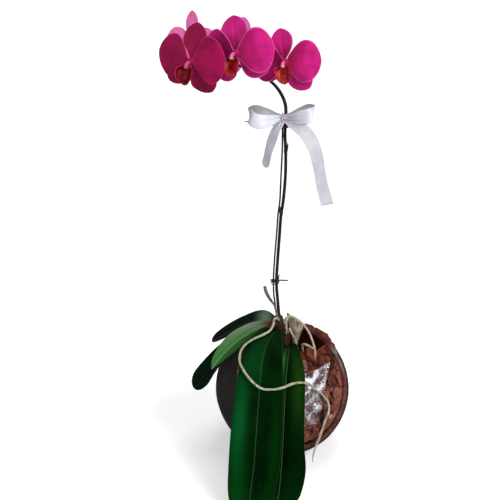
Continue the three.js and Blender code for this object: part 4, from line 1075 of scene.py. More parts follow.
def sheath_scale(foot, tip, facing, width, off, seed, rows=30, columns=21):
    """A scale hugging the stem: angle round the stem = facing + v x width, height from foot to
    tip along the stem, radius = the stem's own + a small gap; it narrows to a torn point."""
    u = np.linspace(0, 1, rows)
    share = foot + (tip - foot) * u
    centre, tangent = curve_points(CROWN_POINTS, share)
    normal, binormal = turning_frames(tangent)
    uu, vv = np.meshgrid(u, np.linspace(-1, 1, columns), indexing="ij")
    torn = 0.06 * waves(np.stack([uu * 20, vv * 12, 0 * uu + seed], -1), 7, seed)
    spread = width * np.sqrt(np.clip(1 - uu ** 2.4, 0.01, 1)) * (1 + torn)
    angle = facing + vv * spread
    radius = (along(CROWN_RADII, share)[:, None] + off + 0.9 * uu ** 2
              + 0.25 * waves(np.stack([uu * 30, vv * 9, 0 * uu], -1), 9, seed + 1))
    grid = (centre[:, None] + normal[:, None] * (np.cos(angle) * radius)[..., None]
            + binormal[:, None] * (np.sin(angle) * radius)[..., None])
    return thin_body(grid, 0.5 * np.sqrt(np.clip(1 - vv ** 6, 0.02, 1)), {"tint": 0 * uu + 0.6})


def stem_parts():
    """The stem, five scales that face different ways, and the old stub with a dry broken tip."""
    bark_like = lambda grid, u: 0.05 * waves(grid, 6, 41) + 0.03 * waves(grid, 2.2, 42)
    ringed = lambda grid, u: 0.1 * waves(grid, 4, 43) + 0.16 * np.exp(-((u - 0.55) / 0.03) ** 2)
    scales = [(0.52, 0.93, -1.9, 0.9, 0.35), (0.45, 0.86, 0.4, 0.95, 0.45), (0.6, 1.0, 2.6, 0.9, 0.4),
              (0.35, 0.72, -0.8, 0.8, 0.5), (0.66, 1.04, -2.9, 0.8, 0.55)]
    stem = tube(CROWN_POINTS, CROWN_RADII, sides=40, rows=90, swell=bark_like, tint=0.1)
    stub = tube(STUB_POINTS, STUB_RADII, sides=16, rows=60, swell=ringed, tint=1.0, round_ends=(True, False))
    return [stem, stub] + [sheath_scale(*row, seed=50 + k) for k, row in enumerate(scales)]


def stem_finish():
    """Brown stem, rosy papery scales and a grey-brown stub: one shade for each part."""
    material, tree, surface, place = finish("stem_brown", Roughness=0.6, Specular_IOR_Level=0.12)
    fibres = streaks(tree, place, (1100, 1100, 90), 0.35, 0.65)
    tint = mark(tree, "tint")
    dark = mixed(tree, fibres, (0.022, 0.009, 0.008), (0.075, 0.034, 0.028))
    rosy = mixed(tree, fibres, (0.022, 0.0085, 0.006), (0.1, 0.046, 0.033))
    grey = mixed(tree, fibres, (0.05, 0.046, 0.036), (0.23, 0.215, 0.18))
    colour = mixed(tree, remap(tree, tint, 0.3, 0.5), dark, rosy)
    colour = mixed(tree, remap(tree, tint, 0.75, 0.95), colour, grey)
    stains = clouds(tree, place, 220, 0.5, 0.64)
    colour = mixed(tree, times(tree, stains, 0.5), colour, (0.02, 0.009, 0.008))
    coat(tree, surface, colour, fibres, 0.7, 0.5)
    relief(tree, surface, fibres, 0.0003)
    return material


piece("stem_and_stub", stem_parts(), stem_finish(), replaces=["crown"])

# %% [markdown]
# A dry leaf sheath stands up behind the stem: thin beige paper with long creases. It is a
# strip like the leaves, narrow at its foot, and its top is slanted and torn. Sharp creases
# come from the film's triangle waves.

# %% The dry sheath behind the stem
SHEATH_SLANT = 0.12


def dry_sheath_body(rows=60, columns=33):
    """A papery strip with long creases, torn at its top."""
    def ripple(u, v):
        """Height over the sheath: soft bumps and long creases."""
        flat = np.stack([u * 60, v * 10, 0 * u], -1)
        return 0.5 * waves(flat, 14, 61) + 0.9 * folds(v * 10 + 3 * u, 8 * u, 62, 4)
    grid, u, v = strap_grid(
        [(18, -10, 134), (17, -11, 155), (17, -13.5, 177), (15.6, -17, 202)], [2.2, 3, 9, 12],
        [(0.95, 0.3, 0), (0.95, 0.1, -0.1), (0.93, -0.1, -0.3), (0.9, -0.12, -0.4)], [1, 1.5, 2, 1],
        rows, columns, ripple, slant=SHEATH_SLANT)
    torn = waves(np.stack([v * 14, 0 * v, 0 * v], -1), 6, 63)
    grid = grid + np.array([0, -0.4, 1.0]) * (1.6 * torn * u ** 10)[..., None]
    edge = np.minimum(1 - np.abs(v), np.minimum(u, 1 - u) * 4)
    return thin_body(grid, 0.5 * np.clip(edge * 12, 0.1, 1), {"along": u, "across": v})


def paper_finish():
    """Dry beige paper: pale fibres and brown stains."""
    material, tree, surface, place = finish("dry_paper", Roughness=0.68, Specular_IOR_Level=0.3)
    vector = joined_vector(tree, times(tree, mark(tree, "along"), 3),
                           times(tree, mark(tree, "across"), 14))
    fibres = streaks(tree, vector, (1, 1, 1), 0.35, 0.65)
    stain = clouds(tree, place, 110, 0.45, 0.62)
    colour = mixed(tree, fibres, (0.24, 0.16, 0.12), (0.68, 0.56, 0.46))
    colour = mixed(tree, times(tree, stain, 0.65), colour, (0.16, 0.075, 0.055))
    coat(tree, surface, colour, stain, 0.6, 0.8)
    relief(tree, surface, fibres, 0.00025)
    return material


piece("dry_leaf_sheath", [dry_sheath_body()], paper_finish(), replaces=["dry_sheath"])

# %% [markdown]
# ## Aerial roots
#
# The roots are cream, matt and slightly knobbly, because a spongy skin covers them; the skin
# is flecked and browner where it has rubbed. They are tubes whose radius swells and thins by
# soft bumps. One of them loops over both long leaves and hangs down over the film.

# %% Root shapes
ROOTS = {
    "root_long": [{
        "points": [(-5.5, -22, 190), (-9, -25, 197), (-12.5, -29.5, 197), (-14.5, -34, 190.5),
                   (-18.5, -39.5, 185.5), (-27, -48, 183.5), (-43, -60, 180.5), (-51.5, -68, 176.8),
                   (-56.5, -75, 171), (-57.5, -84, 162), (-51, -92.5, 151.5), (-42, -98.5, 142),
                   (-30.7, -103.5, 135.2), (-18, -104.5, 134), (-4.5, -102.5, 135.5), (9.8, -95.5, 138),
                   (26, -82, 131.5), (34, -65, 120), (38.5, -53, 109.5), (46, -49, 102.5), (53, -49.5, 96),
                   (58.5, -53.5, 88.5), (59, -59, 79.5), (54.5, -64.5, 70.5), (50.5, -69, 60),
                   (46.5, -73, 50), (41.5, -76.5, 38), (37.8, -82, 27.5), (37, -85, 20)],
        "radii": [1.9, 1.8, 1.7, 1.6, 1.6, 1.6, 1.6, 1.6, 1.6, 1.6, 1.7, 1.8, 1.7, 0.6], "rows": 420}],
    "root_arching": [{
        "points": [(0, -21.5, 187), (3, -22.5, 196), (9, -24, 199), (16, -26, 197), (24, -29.5, 191.5),
                   (30, -32.5, 184.5), (35, -35, 175.5), (38.5, -36.5, 165.5), (41, -36, 154),
                   (41.5, -34, 142)],
        "radii": [1.8, 1.6, 1.5, 1.5, 1.5, 1.5, 1.3], "rows": 160,
    }, {"points": [(4.5, -22.6, 196.5), (3, -30, 192.5), (3.2, -32, 184), (3.4, -32.5, 176.5)],
        "radii": [1.3, 1.4, 1.4, 0.8], "rows": 60}],
    "root_slant": [{
        "points": [(6, -24.5, 176), (7.5, -29.5, 184), (9.5, -32.5, 180), (14, -31.5, 171),
                   (16.5, -28.5, 160), (16, -25.5, 147)],
        "radii": [1.6, 1.5, 1.5, 1.5, 1.4], "rows": 90}],
    "root_stub": [{
        "points": [(27, -14, 138), (26, -18, 150), (25.5, -25, 158.5), (29, -31.5, 162), (38.5, -39.5, 160)],
        "radii": [1.9, 2, 2, 1.9, 1.2], "rows": 80}],
}


def knobbly(grid, u):
    """Slow swellings and fine knobs on a root's skin, as a share of its radius."""
    return -0.12 + 0.09 * waves(grid, 14, 71) + 0.05 * waves(grid, 3.5, 72) + 0.025 * waves(grid, 1.3, 73)


def root_finish():
    """Cream skin with flecks along the root, brown scars and a rosier tip."""
    material, tree, surface, place = finish("root_cream", Roughness=0.7, Specular_IOR_Level=0.3)
    vector = joined_vector(tree, times(tree, mark(tree, "millimetres"), 0.16),
                           times(tree, mark(tree, "around"), 9))
    flecks = streaks(tree, vector, (1, 1, 1), 0.38, 0.62)
    scars = clouds(tree, place, 190, 0.56, 0.68)
    green = clouds(tree, place, 45, 0.4, 0.6)
    colour = mixed(tree, flecks, (0.34, 0.3, 0.19), (0.6, 0.57, 0.44))
    colour = mixed(tree, times(tree, green, 0.5), colour, (0.33, 0.34, 0.19))
    colour = mixed(tree, times(tree, scars, 0.8), colour, (0.16, 0.1, 0.065))
    tip = remap(tree, times(tree, mark(tree, "along"), mark(tree, "tint")), 0.83, 0.93)
    colour = mixed(tree, tip, colour, mixed(tree, flecks, (0.5, 0.3, 0.24), (0.78, 0.62, 0.55)))
    coat(tree, surface, colour, flecks, 0.78, 0.6)
    relief(tree, surface, sums(tree, "SUBTRACT", flecks, scars), 0.00025)
    return material


root_look = root_finish()
for name, branches in ROOTS.items():
    tubes = [tube(**branch, sides=14, swell=knobbly, tint=float(name == "root_long")) for branch in branches]
    piece(name + "_skin", tubes, root_look, replaces=[name])

# %% [markdown]
# ## The flower spike
#
# The spike is one dark purple-brown stem with a ring and a small scale at each node. Near its
# top it arches over, and a thin stalk leaves it for each bloom. The stalks end just behind
# the blooms, so the blooms' own places come first.

# %% Places of the blooms
# Each outer part has its direction in degrees from straight up, its length and its half width.
BLOOM_COLUMNS = ["centre", "scale", "turn", "tip", "lean", "joint", "dorsal", "petals", "laterals"]
BLOOM_ROWS = {
    "bloom_left": [(-111.5, -82, 523), 0.97, 17, 8, 11, (-104, -32, 518), (0, 43, 13.8),
                   [(-84, 44, 25), (76, 40, 27)], [(-134, 41, 13), (141, 41.5, 15.5)]],
    "bloom_middle": [(-61.5, -64, 532), 1.04, 21, 5, -1, (-66, -18, 519.7), (-8, 40, 15.8),
                     [(-84, 43, 24), (83, 42, 24.5)], [(-140, 38, 13), (122, 38, 16)]],
    "bloom_right": [(-5, -50, 522.5), 0.97, 14, 5, -7, (-27, -9.9, 505), (-5, 39, 13.8),
                    [(-84, 43, 24), (96, 43, 25)], [(-112, 38, 13), (146, 43, 15)]],
    "bloom_back_left": [(-116.5, 20, 541), 0.97, 157, 4, 4, (-97, -29, 519.2), (0, 42, 8.5),
                        [(-84, 34, 19), (74, 38, 19)], [(-138, 36, 13), (138, 36, 13)]],
    "bloom_back_middle": [(-56, 22, 536.5), 0.92, 158, 4, 2, (-49, -13.5, 515.4), (0, 41, 12.5),
                          [(-84, 43, 24), (84, 43, 24)], [(-138, 38, 13), (138, 38, 13)]],
}
BLOOMS = {name: dict(zip(BLOOM_COLUMNS, row)) for name, row in BLOOM_ROWS.items()}
HUB_BACK = 5.5           # how far the hub reaches behind the bloom's middle


def bloom_matrix(spec):
    """Place, turn, tip, lean and size of a bloom; in its own frame z looks out of the bloom."""
    return (Matrix.Translation(spec["centre"]) @ Matrix.Rotation(-math.radians(spec["turn"]), 4, "Z")
            @ Matrix.Rotation(math.radians(90 + spec["tip"]), 4, "X")
            @ Matrix.Rotation(-math.radians(spec["lean"]), 4, "Z") @ Matrix.Scale(spec["scale"], 4))


def placed(matrix, points):
    """Points of a bloom's own frame in the plant's frame."""
    whole = np.array(matrix)
    return np.asarray(points, float) @ whole[:3, :3].T + whole[:3, 3]


print("petals in mm:", [round(spec["scale"] * spec["petals"][0][1]) for spec in BLOOMS.values()])


# %% Spike, stalks, scales and buds
SPIKE_POINTS = [(-5.4, -18.5, 191.5), (-6.3, -18, 200), (-7.3, -15.6, 211), (-9.3, -14, 232),
                (-9.9, -14, 246), (-8.8, -14, 271), (-6.6, -14, 307), (-5, -14, 333), (-2.4, -14, 352),
                (-0.2, -14, 382), (-0.1, -14, 412), (-1.3, -14, 435), (-1.2, -14, 451), (-0.6, -14, 465),
                (-1.8, -13.6, 473.5), (-5.7, -12.6, 483), (-12.2, -11.4, 492.5), (-19.2, -10, 499.2),
                (-30, -10, 506.8), (-45, -12.5, 514), (-64, -17.5, 519.5), (-88, -25, 520.5),
                (-106, -33, 517.5), (-116, -38, 513.5)]
SPIKE_RADIUS = 2.0
SPIKE_TAPER = [1] * 13 + [1.05, 1.05, 1.05, 1, 0.95, 0.9, 0.9, 0.85, 0.8, 0.7, 0.45]
NODES_AT = [0.17, 0.31, 0.44]


def spike_swell(grid, u):
    """Slight ribs, and a raised ring at each node: a narrow bell curve."""
    rings = sum(0.22 * np.exp(-((u - at) / 0.0035) ** 2) for at in NODES_AT)
    return rings + 0.03 * waves(grid, 9, 81)


def small_scale(root, tip, width, facing, seed):
    """A pointed boat-shaped scale from root to tip: it bows outwards and wraps the stem."""
    root, tip = np.array(root, float), np.array(tip, float)
    length = np.linalg.norm(tip - root)
    direction = (tip - root) / length
    facing = unit(facing - direction * (np.asarray(facing, float) @ direction))
    side = np.cross(direction, facing)
    u, v = np.meshgrid(np.linspace(0, 1, 16), np.linspace(-1, 1, 11), indexing="ij")
    half = width * np.sin(np.pi * np.clip(0.35 + 0.65 * u, 0, 1)) ** 0.8 + 0.05
    bow = 0.25 * length * np.sin(np.pi * u * 0.7) * 0.5 - 0.55 * half * v ** 2
    grid = (root + direction * (u * length)[..., None] + side * (v * half)[..., None]
            + facing * (bow + 0.1 * waves(np.stack([u, v, 0 * u], -1) * 8, 5, seed))[..., None])
    return thin_body(grid, 0.45 * np.sqrt(np.clip(1 - v ** 6, 0.02, 1)), {"tint": 0 * u + 0.45})


def stalk_parts(spec, seed):
    """A bloom's stalk from the spike to the hub, thickening towards the bloom, and its scale."""
    matrix = bloom_matrix(spec)
    end = placed(matrix, (0, 0, -HUB_BACK + 1.2))
    lead = placed(matrix, (0, -1.5, -HUB_BACK - 11))
    start = np.array(spec["joint"], float)
    middle = (start + lead) / 2 + np.array([0, 0, 3])
    ribbed = lambda grid, u: 0.06 * waves(grid, 5, seed)
    stalk = tube([start, middle, lead, end], [1.2, 1.25, 1.45, 2.1], sides=12, rows=70, swell=ribbed,
                 tint=0.75)
    away = unit(middle - start)
    tip = start + away * 5.5 + np.array([0, 0, 3.4])
    return [stalk, small_scale(start - away * 1.5, tip, 2.6, np.array([0, 0, 1.0]) - away * 0.2, seed)]


def spike_parts():
    """The stem, the scales at its nodes, the stalks, and the closed buds at its tip."""
    parts = [tube(SPIKE_POINTS, np.array(SPIKE_TAPER) * SPIKE_RADIUS, sides=18, rows=520, swell=spike_swell)]
    for k, at in enumerate(NODES_AT):
        foot, tip = curve_points(SPIKE_POINTS, np.array([at, at + 0.022]))[0]
        facing = np.array([(-1) ** k, -0.5, 0.0])
        outward = unit(facing) * (SPIKE_RADIUS + 0.25)
        parts.append(small_scale(foot + outward, tip + outward, 2.0, facing, 90 + k))
    for k, spec in enumerate(BLOOMS.values()):
        parts += stalk_parts(spec, 95 + k)
    bud = (Matrix.Translation((-118.5, -39, 511.8)) @ Matrix.Rotation(math.radians(52), 4, "Y")
           @ Matrix.Rotation(math.radians(-20), 4, "X"))
    parts.append(blob((0, 0, 0), (2.6, 2.6, 5.0), bud, sides=18, rows=15, tint=0.9))
    return parts


def spike_finish():
    """Nearly black purple-brown stem, greener purple stalks and a green-pink bud."""
    material, tree, surface, place = finish("spike_dark", Roughness=0.38, Specular_IOR_Level=0.3)
    fibres = streaks(tree, place, (1300, 1300, 70), 0.35, 0.68)
    freckles = specks(tree, place, 950, 0.3)
    tint = mark(tree, "tint")
    stem = mixed(tree, fibres, (0.007, 0.004, 0.005), (0.026, 0.013, 0.013))
    stalk = mixed(tree, clouds(tree, place, 120, 0.4, 0.62), (0.05, 0.028, 0.022), (0.12, 0.07, 0.05))
    bud = mixed(tree, clouds(tree, place, 150, 0.4, 0.6), (0.16, 0.16, 0.05), (0.3, 0.07, 0.12))
    colour = mixed(tree, remap(tree, tint, 0.3, 0.7), stem, stalk)
    colour = mixed(tree, remap(tree, tint, 0.8, 0.9), colour, bud)
    colour = mixed(tree, times(tree, freckles, 0.25), colour, (0.09, 0.06, 0.05))
    coat(tree, surface, colour, fibres, 0.32, 0.5)
    relief(tree, surface, sums(tree, "ADD", fibres, freckles), 0.00012)
    return material


piece("flower_spike", spike_parts(), spike_finish(), replaces=["spike"])

# %% [markdown]
# ## Stake and ties
#
# A thin cane stands beside the spike, with faint rings where its leaves grew. Two wires
# hold the spike to it: a dark green one low down and a black one under the bow. A wire could
# be a ring or two, but a helix of two turns with loose ends shows how it was wound.

# %% Cane and wires
STAKE_POINTS = [(-4, -4, 118), (-4.4, -4.4, 150), (-5.6, -4.8, 172), (-7.6, -6.2, 190),
                (-10.4, -10.4, 207), (-13.2, -13.6, 226), (-13.9, -14, 245), (-12.7, -14, 275),
                (-10.6, -14, 305), (-8.9, -14.6, 333), (-6.8, -15, 352), (-5.7, -14.6, 382),
                (-4.7, -15.4, 412), (-4.6, -17.2, 435), (-4.8, -17.4, 449), (-4.8, -17.6, 462)]
STAKE_RADIUS = 1.1
TIE_RADIUS = 0.65
FOLDED_FROM = 0.86       # share of the wire's length past which its end is folded back


def cane_finish():
    """Dark cane: long fibres and a dull shine."""
    material, tree, surface, place = finish("cane", Roughness=0.45, Specular_IOR_Level=0.2)
    fibres = streaks(tree, place, (1700, 1700, 45), 0.34, 0.66)
    colour = mixed(tree, fibres, (0.008, 0.005, 0.004), (0.034, 0.019, 0.014))
    coat(tree, surface, colour, fibres, 0.36, 0.56)
    relief(tree, surface, fibres, 0.00012)
    return material


def cane_rings(grid, u):
    """Low rings along the cane, one every 27 mm or so."""
    return sum(0.13 * np.exp(-((u - at) / 0.003) ** 2) for at in np.linspace(0.16, 0.94, 11))


def wire(centre, radius_x, radius_y, height, tail, lead=()):
    """Two turns round the spike and the cane: an elliptic helix with a loose end or two.

    The last loose end is folded back on itself, so it is thicker.
    """
    turn = np.pi + np.linspace(0, 4 * np.pi, 41)
    helix = np.stack([centre[0] + np.cos(turn) * radius_x, centre[1] + np.sin(turn) * radius_y,
                      centre[2] + np.linspace(-0.5, 0.5, 41) * height], -1)
    path = np.vstack([np.array(lead, float).reshape(-1, 3), helix, np.array(tail, float)])
    return tube(path, [TIE_RADIUS, TIE_RADIUS], sides=10, rows=260, swell=lambda grid, u: (
        0.05 * waves(grid, 2.4, 101) + 0.45 * np.clip((u - FOLDED_FROM) * 20, 0, 1)))


def wire_finish(name, dark, light):
    """Coated wire: a soft plastic skin, scuffed paler in places."""
    material, tree, surface, place = finish(name, Roughness=0.42, Specular_IOR_Level=0.45)
    scuffs = clouds(tree, place, 500, 0.5, 0.68)
    paint(tree, surface, Base_Color=mixed(tree, scuffs, dark, light),
          Roughness=remap(tree, scuffs, 0, 1, 0.36, 0.6))
    relief(tree, surface, scuffs, 0.00006)
    return material


piece("cane_stake", [tube(STAKE_POINTS, [STAKE_RADIUS, STAKE_RADIUS], sides=14, rows=420, swell=cane_rings)],
      cane_finish(), replaces=["stake"])
piece("wire_green", [wire((-11.9, -14, 243.5), 5.3, 3.9, 5,
                          [(-12, -19.5, 247.5), (-3, -21, 248), (5.6, -20.5, 247.5)])],
      wire_finish("wire_green", (0.003, 0.022, 0.012), (0.012, 0.05, 0.03)),
      replaces=["tie_lower"])
piece("wire_black", [wire((-3, -15.4, 446), 5.4, 5.8, 4.6,
                          [(-6.6, -21, 448.9), (-2, -23, 449), (4, -22, 449), (8.4, -20, 448.5)],
                          [(-52.5, -12, 451.5), (-34, -9, 450), (-17, -9.5, 447)])],
      wire_finish("wire_black", (0.004, 0.004, 0.0045), (0.02, 0.02, 0.022)),
      replaces=["tie_upper"])

# %% [markdown]
# ## The satin bow
#
# The bow is one strip of satin, 18 mm wide: two loops, two tails and the band round the
# knot. A tied knot is hard to simulate, so each stretch is a strip along a curve that is
# pinched where it runs into the knot; pleats fan out of the knot and fade along the loop. The
# length the ribbon was cut to is added up and printed.

# %% Bow shapes
KNOT = np.array([-3.9, -23.5, 456.5])
KNOT_TURNS = 20          # length of ribbon hidden in the knot
RIBBON_WIDTH = 18.0
HALF = RIBBON_WIDTH / 2
# Each stretch: its curve from the knot, half widths, side directions, how strongly each end is
# pinched, and how much painted shade it has along its length.
BANDS = {
    "left_loop": ([(0, -0.5, 0), (-8, -3.5, -0.5), (-19, -7.5, -3), (-31, -8, -3.5), (-39, -4.5, -0.5),
                   (-41, 0.5, 3.5), (-35, 3.6, 6.5), (-22, 3.4, 5.5), (-10, 2.2, 2.5), (0, 0.6, 0.5)],
                  [3, 4.5, 7.5, HALF, HALF, HALF, HALF, 7, 4.5, 3],
                  [(0, 0, 1), (0.1, 0, 1), (0.1, -0.1, 1), (0.1, 0.2, 1), (0, 0.1, 1)], (1, 1),
                  [0.7, 0.3, 0.05, 0, 0.2, 0.9, 0.9, 0.7, 0.7, 0.7]),
    "right_loop": ([(0, -0.5, 0), (8, -3.5, 0.5), (18, -7.5, 1.5), (28, -7.5, 2.5), (34.5, -4, 4.5),
                    (35.5, 0.5, 7), (30, 3.6, 8), (20, 3.4, 6), (10, 2.2, 3), (0, 0.6, 0.5)],
                   [3, 4.5, 7.5, HALF, HALF, HALF, HALF, 7, 4.5, 3],
                   [(0, 0, -1), (-0.1, 0, -1), (-0.1, -0.1, -1), (-0.1, 0.2, -1), (0, 0.1, -1)], (1, 1),
                   [0.9, 0.75, 0.6, 0.4, 0, 0.6, 0.9, 0.8, 0.8, 0.8]),
    "left_tail": ([(-0.5, -0.5, -0.5), (-6, -2.5, -9), (-11.5, -3.5, -20), (-15.5, -3, -32),
                   (-18.5, -3.5, -43), (-20.5, -3, -52), (-22, -2.5, -60)],
                  [3, 4.3, 5.5, 6.9, 8, 8.6, HALF, HALF, HALF, HALF, HALF, 8.2, 3.5],
                  [(1, -0.3, 0), (0.7, -0.65, 0.2), (0.5, -0.85, 0.1), (0.52, -0.84, 0.1)], (1, 0),
                  [0.6, 0.5, 0.35, 0.4, 0.35]),
    "right_tail": ([(0.5, -0.5, -0.5), (10, -3, -6), (22, -4, -13), (32, -3.5, -24), (39.5, -3, -39),
                    (44.5, -3.5, -60), (49.5, -3.5, -84), (56.5, -2.5, -107)],
                   [3, 6, 8.5, HALF, HALF, HALF, HALF, HALF - 0.8],
                   [(0.5, -0.2, 0.8), (0.75, -0.2, 0.5), (0.9, -0.35, 0.2), (0.75, -0.65, 0.1),
                    (0.9, -0.4, 0.1)],
                   (1, 0), [0.6, 0.45, 0.3, 0.1, 0, 0, 0, 0.1]),
}
print("stretches of ribbon in mm:", {name: round(length_of(band[0])) for name, band in BANDS.items()})


# %% Ribbon, knot and band
def ribbon_body(points, half_widths, across, pinched, tone, seed, rows=110, columns=29, thickness=0.45):
    """A strip with pleats: normal x depth x cos(2.5 pi v), deepest at the knot and fading."""
    length = length_of(np.array(points, float))

    def ripple(u, v):
        """Height over the ribbon: pleats that fade away from the knot, and slow waves."""
        near_start = pinched[0] * np.exp(-u * length / 11)
        near_end = pinched[1] * np.exp(-(1 - u) * length / 11)
        pleats = np.cos(2.5 * np.pi * v + 0.4 * seed)
        flat = np.stack([u * length, v * HALF, 0 * u + seed * 9], -1)
        return (0.8 * (near_start + near_end) * pleats + 0.35 * waves(flat, 26, 110 + seed)
                + 0.12 * waves(flat, 9, 120 + seed))

    moved = np.array(points, float) + KNOT
    grid, u, v = strap_grid(moved, half_widths, across, [0], rows, columns, ripple)
    hem = 1 + 0.5 * np.clip((np.abs(v) - 0.9) * 12, 0, 1)
    ends = np.clip(np.minimum(u, 1 - u) * length / 0.6, 0.1, 1)
    # Each stretch's painted shade is stored along it as a mark.
    body = thin_body(grid, thickness * hem * ends,
                     {"across": v, "millimetres": u * length, "tone": along(tone, u)})
    return body, length


def knot_band():
    """The ribbon gathered round the knot: a pleated egg that the loops run into."""
    body = blob(KNOT, (4.6, 3.9, 4.4), sides=64, rows=34)
    local = body["points"] - KNOT
    turn = np.arctan2(local[:, 2], local[:, 1])
    pleat = 1 + 0.05 * np.cos(local[:, 0] * 3.4 + 0.8 * np.sin(turn)) + 0.03 * waves(local, 3, 131)
    body["points"] = KNOT + local * pleat[:, None]
    body["marks"] = {"across": local[:, 0] / 5, "millimetres": turn * 4, "tint": np.ones(len(local))}
    return body


def back_ring(rows=70, columns=13):
    """The narrow band that holds the bow to the spike and the cane: most of a level circle."""
    turn = -np.pi / 2 + np.linspace(0, 1, 13) * 2 * np.pi * 0.97 + 0.1
    circle = np.stack([-2.4 + np.cos(turn) * 5.2, -15.6 + np.sin(turn) * 5.8, 455.5 + 0 * turn], -1)
    grid, _, v = strap_grid(circle, [2.4, 2.6, 2.4], [(0, 0, 1), (0, 0, 1)], [0], rows, columns,
                            lambda u, v: 0.25 * np.cos(3 * np.pi * v))
    body = thin_body(grid, 0.5 * np.sqrt(np.clip(1 - v ** 8, 0.05, 1)), {"across": v})
    return body, length_of(circle)


# %% [markdown]
# Satin is smooth, with fine cross threads, a woven margin and a silky sheen. Lamps alone give
# the folds too even a light, so painted shade darkens each stretch where it turns away from
# them. The knot is painted darker and rosy, as painted shade and a painted reflection of the blooms.


# %% Finish of the satin
def satin_finish():
    """White satin: fine cross threads, a woven margin, a silky sheen, painted shade, and a rosy knot."""
    material, tree, surface, place = finish(
        "white_satin", Roughness=0.34, Specular_IOR_Level=0.5, Sheen_Weight=0.25, Sheen_Roughness=0.35,
        Sheen_Tint=(0.95, 0.93, 1, 1), Anisotropic=0.35)
    v, far = mark(tree, "across"), mark(tree, "millimetres")
    threads = add(tree, "ShaderNodeTexWave", {"bands_direction": "X"}, Scale=2.2, Distortion=0.4, Detail=1.0,
                  Vector=joined_vector(tree, far, times(tree, v, 3)))
    warp = add(tree, "ShaderNodeTexWave", {"bands_direction": "Y"}, Scale=6.0,
               Vector=joined_vector(tree, far, times(tree, v, 9)))
    cool = clouds(tree, place, 60, 0.4, 0.62)
    colour = mixed(tree, cool, (0.88, 0.885, 0.93), (0.77, 0.78, 0.86))
    # Painted shade: each stretch darkens where it turns away from the lamps.
    colour = mixed(tree, mark(tree, "tone"), colour, (0.26, 0.26, 0.285))
    margin = remap(tree, unsigned(tree, v), 0.9, 0.95)
    colour = mixed(tree, times(tree, margin, 0.35), colour, (0.62, 0.62, 0.68))
    grain = remap(tree, clouds(tree, place, 500, 0.4, 0.6), 0, 1, 0.55, 0.95)
    # Painted reflection and shade: the knot is darker and rosy, as if it caught the blooms' colour in its
    # gathers.
    knot = times(tree, mark(tree, "tint"), grain)
    colour = mixed(tree, knot, colour, (0.34, 0.17, 0.22))
    height = sums(tree, "ADD", threads.outputs["Fac"], times(tree, warp.outputs["Fac"], 0.6))
    coat(tree, surface, colour, margin, 0.33, 0.55)
    relief(tree, surface, height, 0.00004)
    return material


bands, cut_length = [], 0.0
for seed, band in enumerate(BANDS.values()):
    body, length = ribbon_body(*band, seed)
    bands.append(body)
    cut_length += length
ring, ring_length = back_ring()
cut_length += ring_length + KNOT_TURNS
print("ribbon length in mm:", round(cut_length))
bow = piece("satin_bow", bands + [ring, knot_band()], satin_finish(),
            replaces=["ribbon_bow"])

# %% [markdown]
# ## The blooms
#
# A moth orchid's bloom has three narrow sepals behind, two broad petals in front of them, a
# small red lip and a pale column. All five outer parts are one formula with other numbers: a
# half width that rises to a peak and rounds off at the tip, and a depth that sweeps back.
# The petals' rims wave a little, and a crease runs down the middle of each. Sculpting would
# do for one bloom, but a formula gives five that differ as real ones do.

# %% Petals and sepals
TEPAL_THICKNESS = 0.8
PETAL = {"peak": 0.55, "slim": 0.85, "rounded": 0.5, "sweep": 14, "cup": -0.6, "back": 0.0}
SEPAL = {"peak": 0.6, "slim": 0.9, "rounded": 0.5, "sweep": 15, "cup": 0.5, "back": 2.6}
LATERAL = {"peak": 0.58, "slim": 0.85, "rounded": 0.45, "sweep": 16, "cup": 0.5, "back": 3.0}


def tepal_half_width(u, half, peak, slim, rounded):
    """half x sin(pi u^k)^p: k puts the widest place at the peak, p is slim below, round above."""
    bell = np.sin(np.pi * np.minimum(u, 1) ** (math.log(0.5) / math.log(peak)))
    shape = np.maximum(bell, 0) ** np.where(u < peak, slim, rounded)
    return np.maximum(half * shape, np.where(u < peak, 2.5, 1.6))


def tepal(matrix, angle, length, half, peak, slim, rounded, sweep, cup, back, seed, wave=0.8,
          rows=64, columns=41):
    """One petal or sepal: reach along its direction, half width across, depth behind.

    Depth = -reach x tan(sweep) + cup x v^2 - a crease at v = 0 + waves that grow to the rim.
    """
    sine, cosine = math.sin(math.radians(angle)), math.cos(math.radians(angle))
    out, side = np.array([sine, cosine, 0]), np.array([-cosine, sine, 0])
    s, x = np.meshgrid(np.linspace(0, 1, rows), np.linspace(-1, 1, columns), indexing="ij")
    v = 0.55 * x + 0.45 * np.sin(x * np.pi / 2)
    u = 1 - (1 - s) ** 1.5
    width = tepal_half_width(u, half, peak, slim, rounded)
    margin = np.stack([u * 40, np.sign(v) * 30, 0 * u + seed * 11], -1)
    wide = 1 + 0.035 * waves(margin, 24, seed) * v ** 2
    reach = length * (0.03 + 0.97 * u) * (1 - 0.02 * v ** 2)
    flat = np.stack([reach, v * width, 0 * u + seed * 7], -1)
    rim_distance = np.minimum(width * (1 - np.abs(v)),
                              length * (1 - u) * 0.9 + width * 0.12 * (1 - np.abs(v)))
    near_rim = np.exp(-rim_distance / 6)
    depth = (-reach * math.tan(math.radians(sweep)) + cup * v ** 2 * width / 10 - back
             + wave * (near_rim * waves(flat, 19, seed) + 0.5 * waves(flat, 34, seed + 1) * u)
             - 0.7 * np.exp(-(v * width / 1.6) ** 2) * (1 - u) ** 0.4 * np.clip(u * 6, 0, 1)
             - 0.9 * near_rim * u + 0.07 * np.cos(v * width * 1.6) * (1 - near_rim))
    grid = out * reach[..., None] + side * (v * width * wide)[..., None]
    grid = placed(matrix, grid + np.array([0, 0, 1.0]) * depth[..., None])
    taper = np.sqrt(np.clip(rim_distance / 1.1, 0.0, 1))
    return thin_body(grid, TEPAL_THICKNESS * taper, {"along": u, "sideways": v * width, "rim": rim_distance})


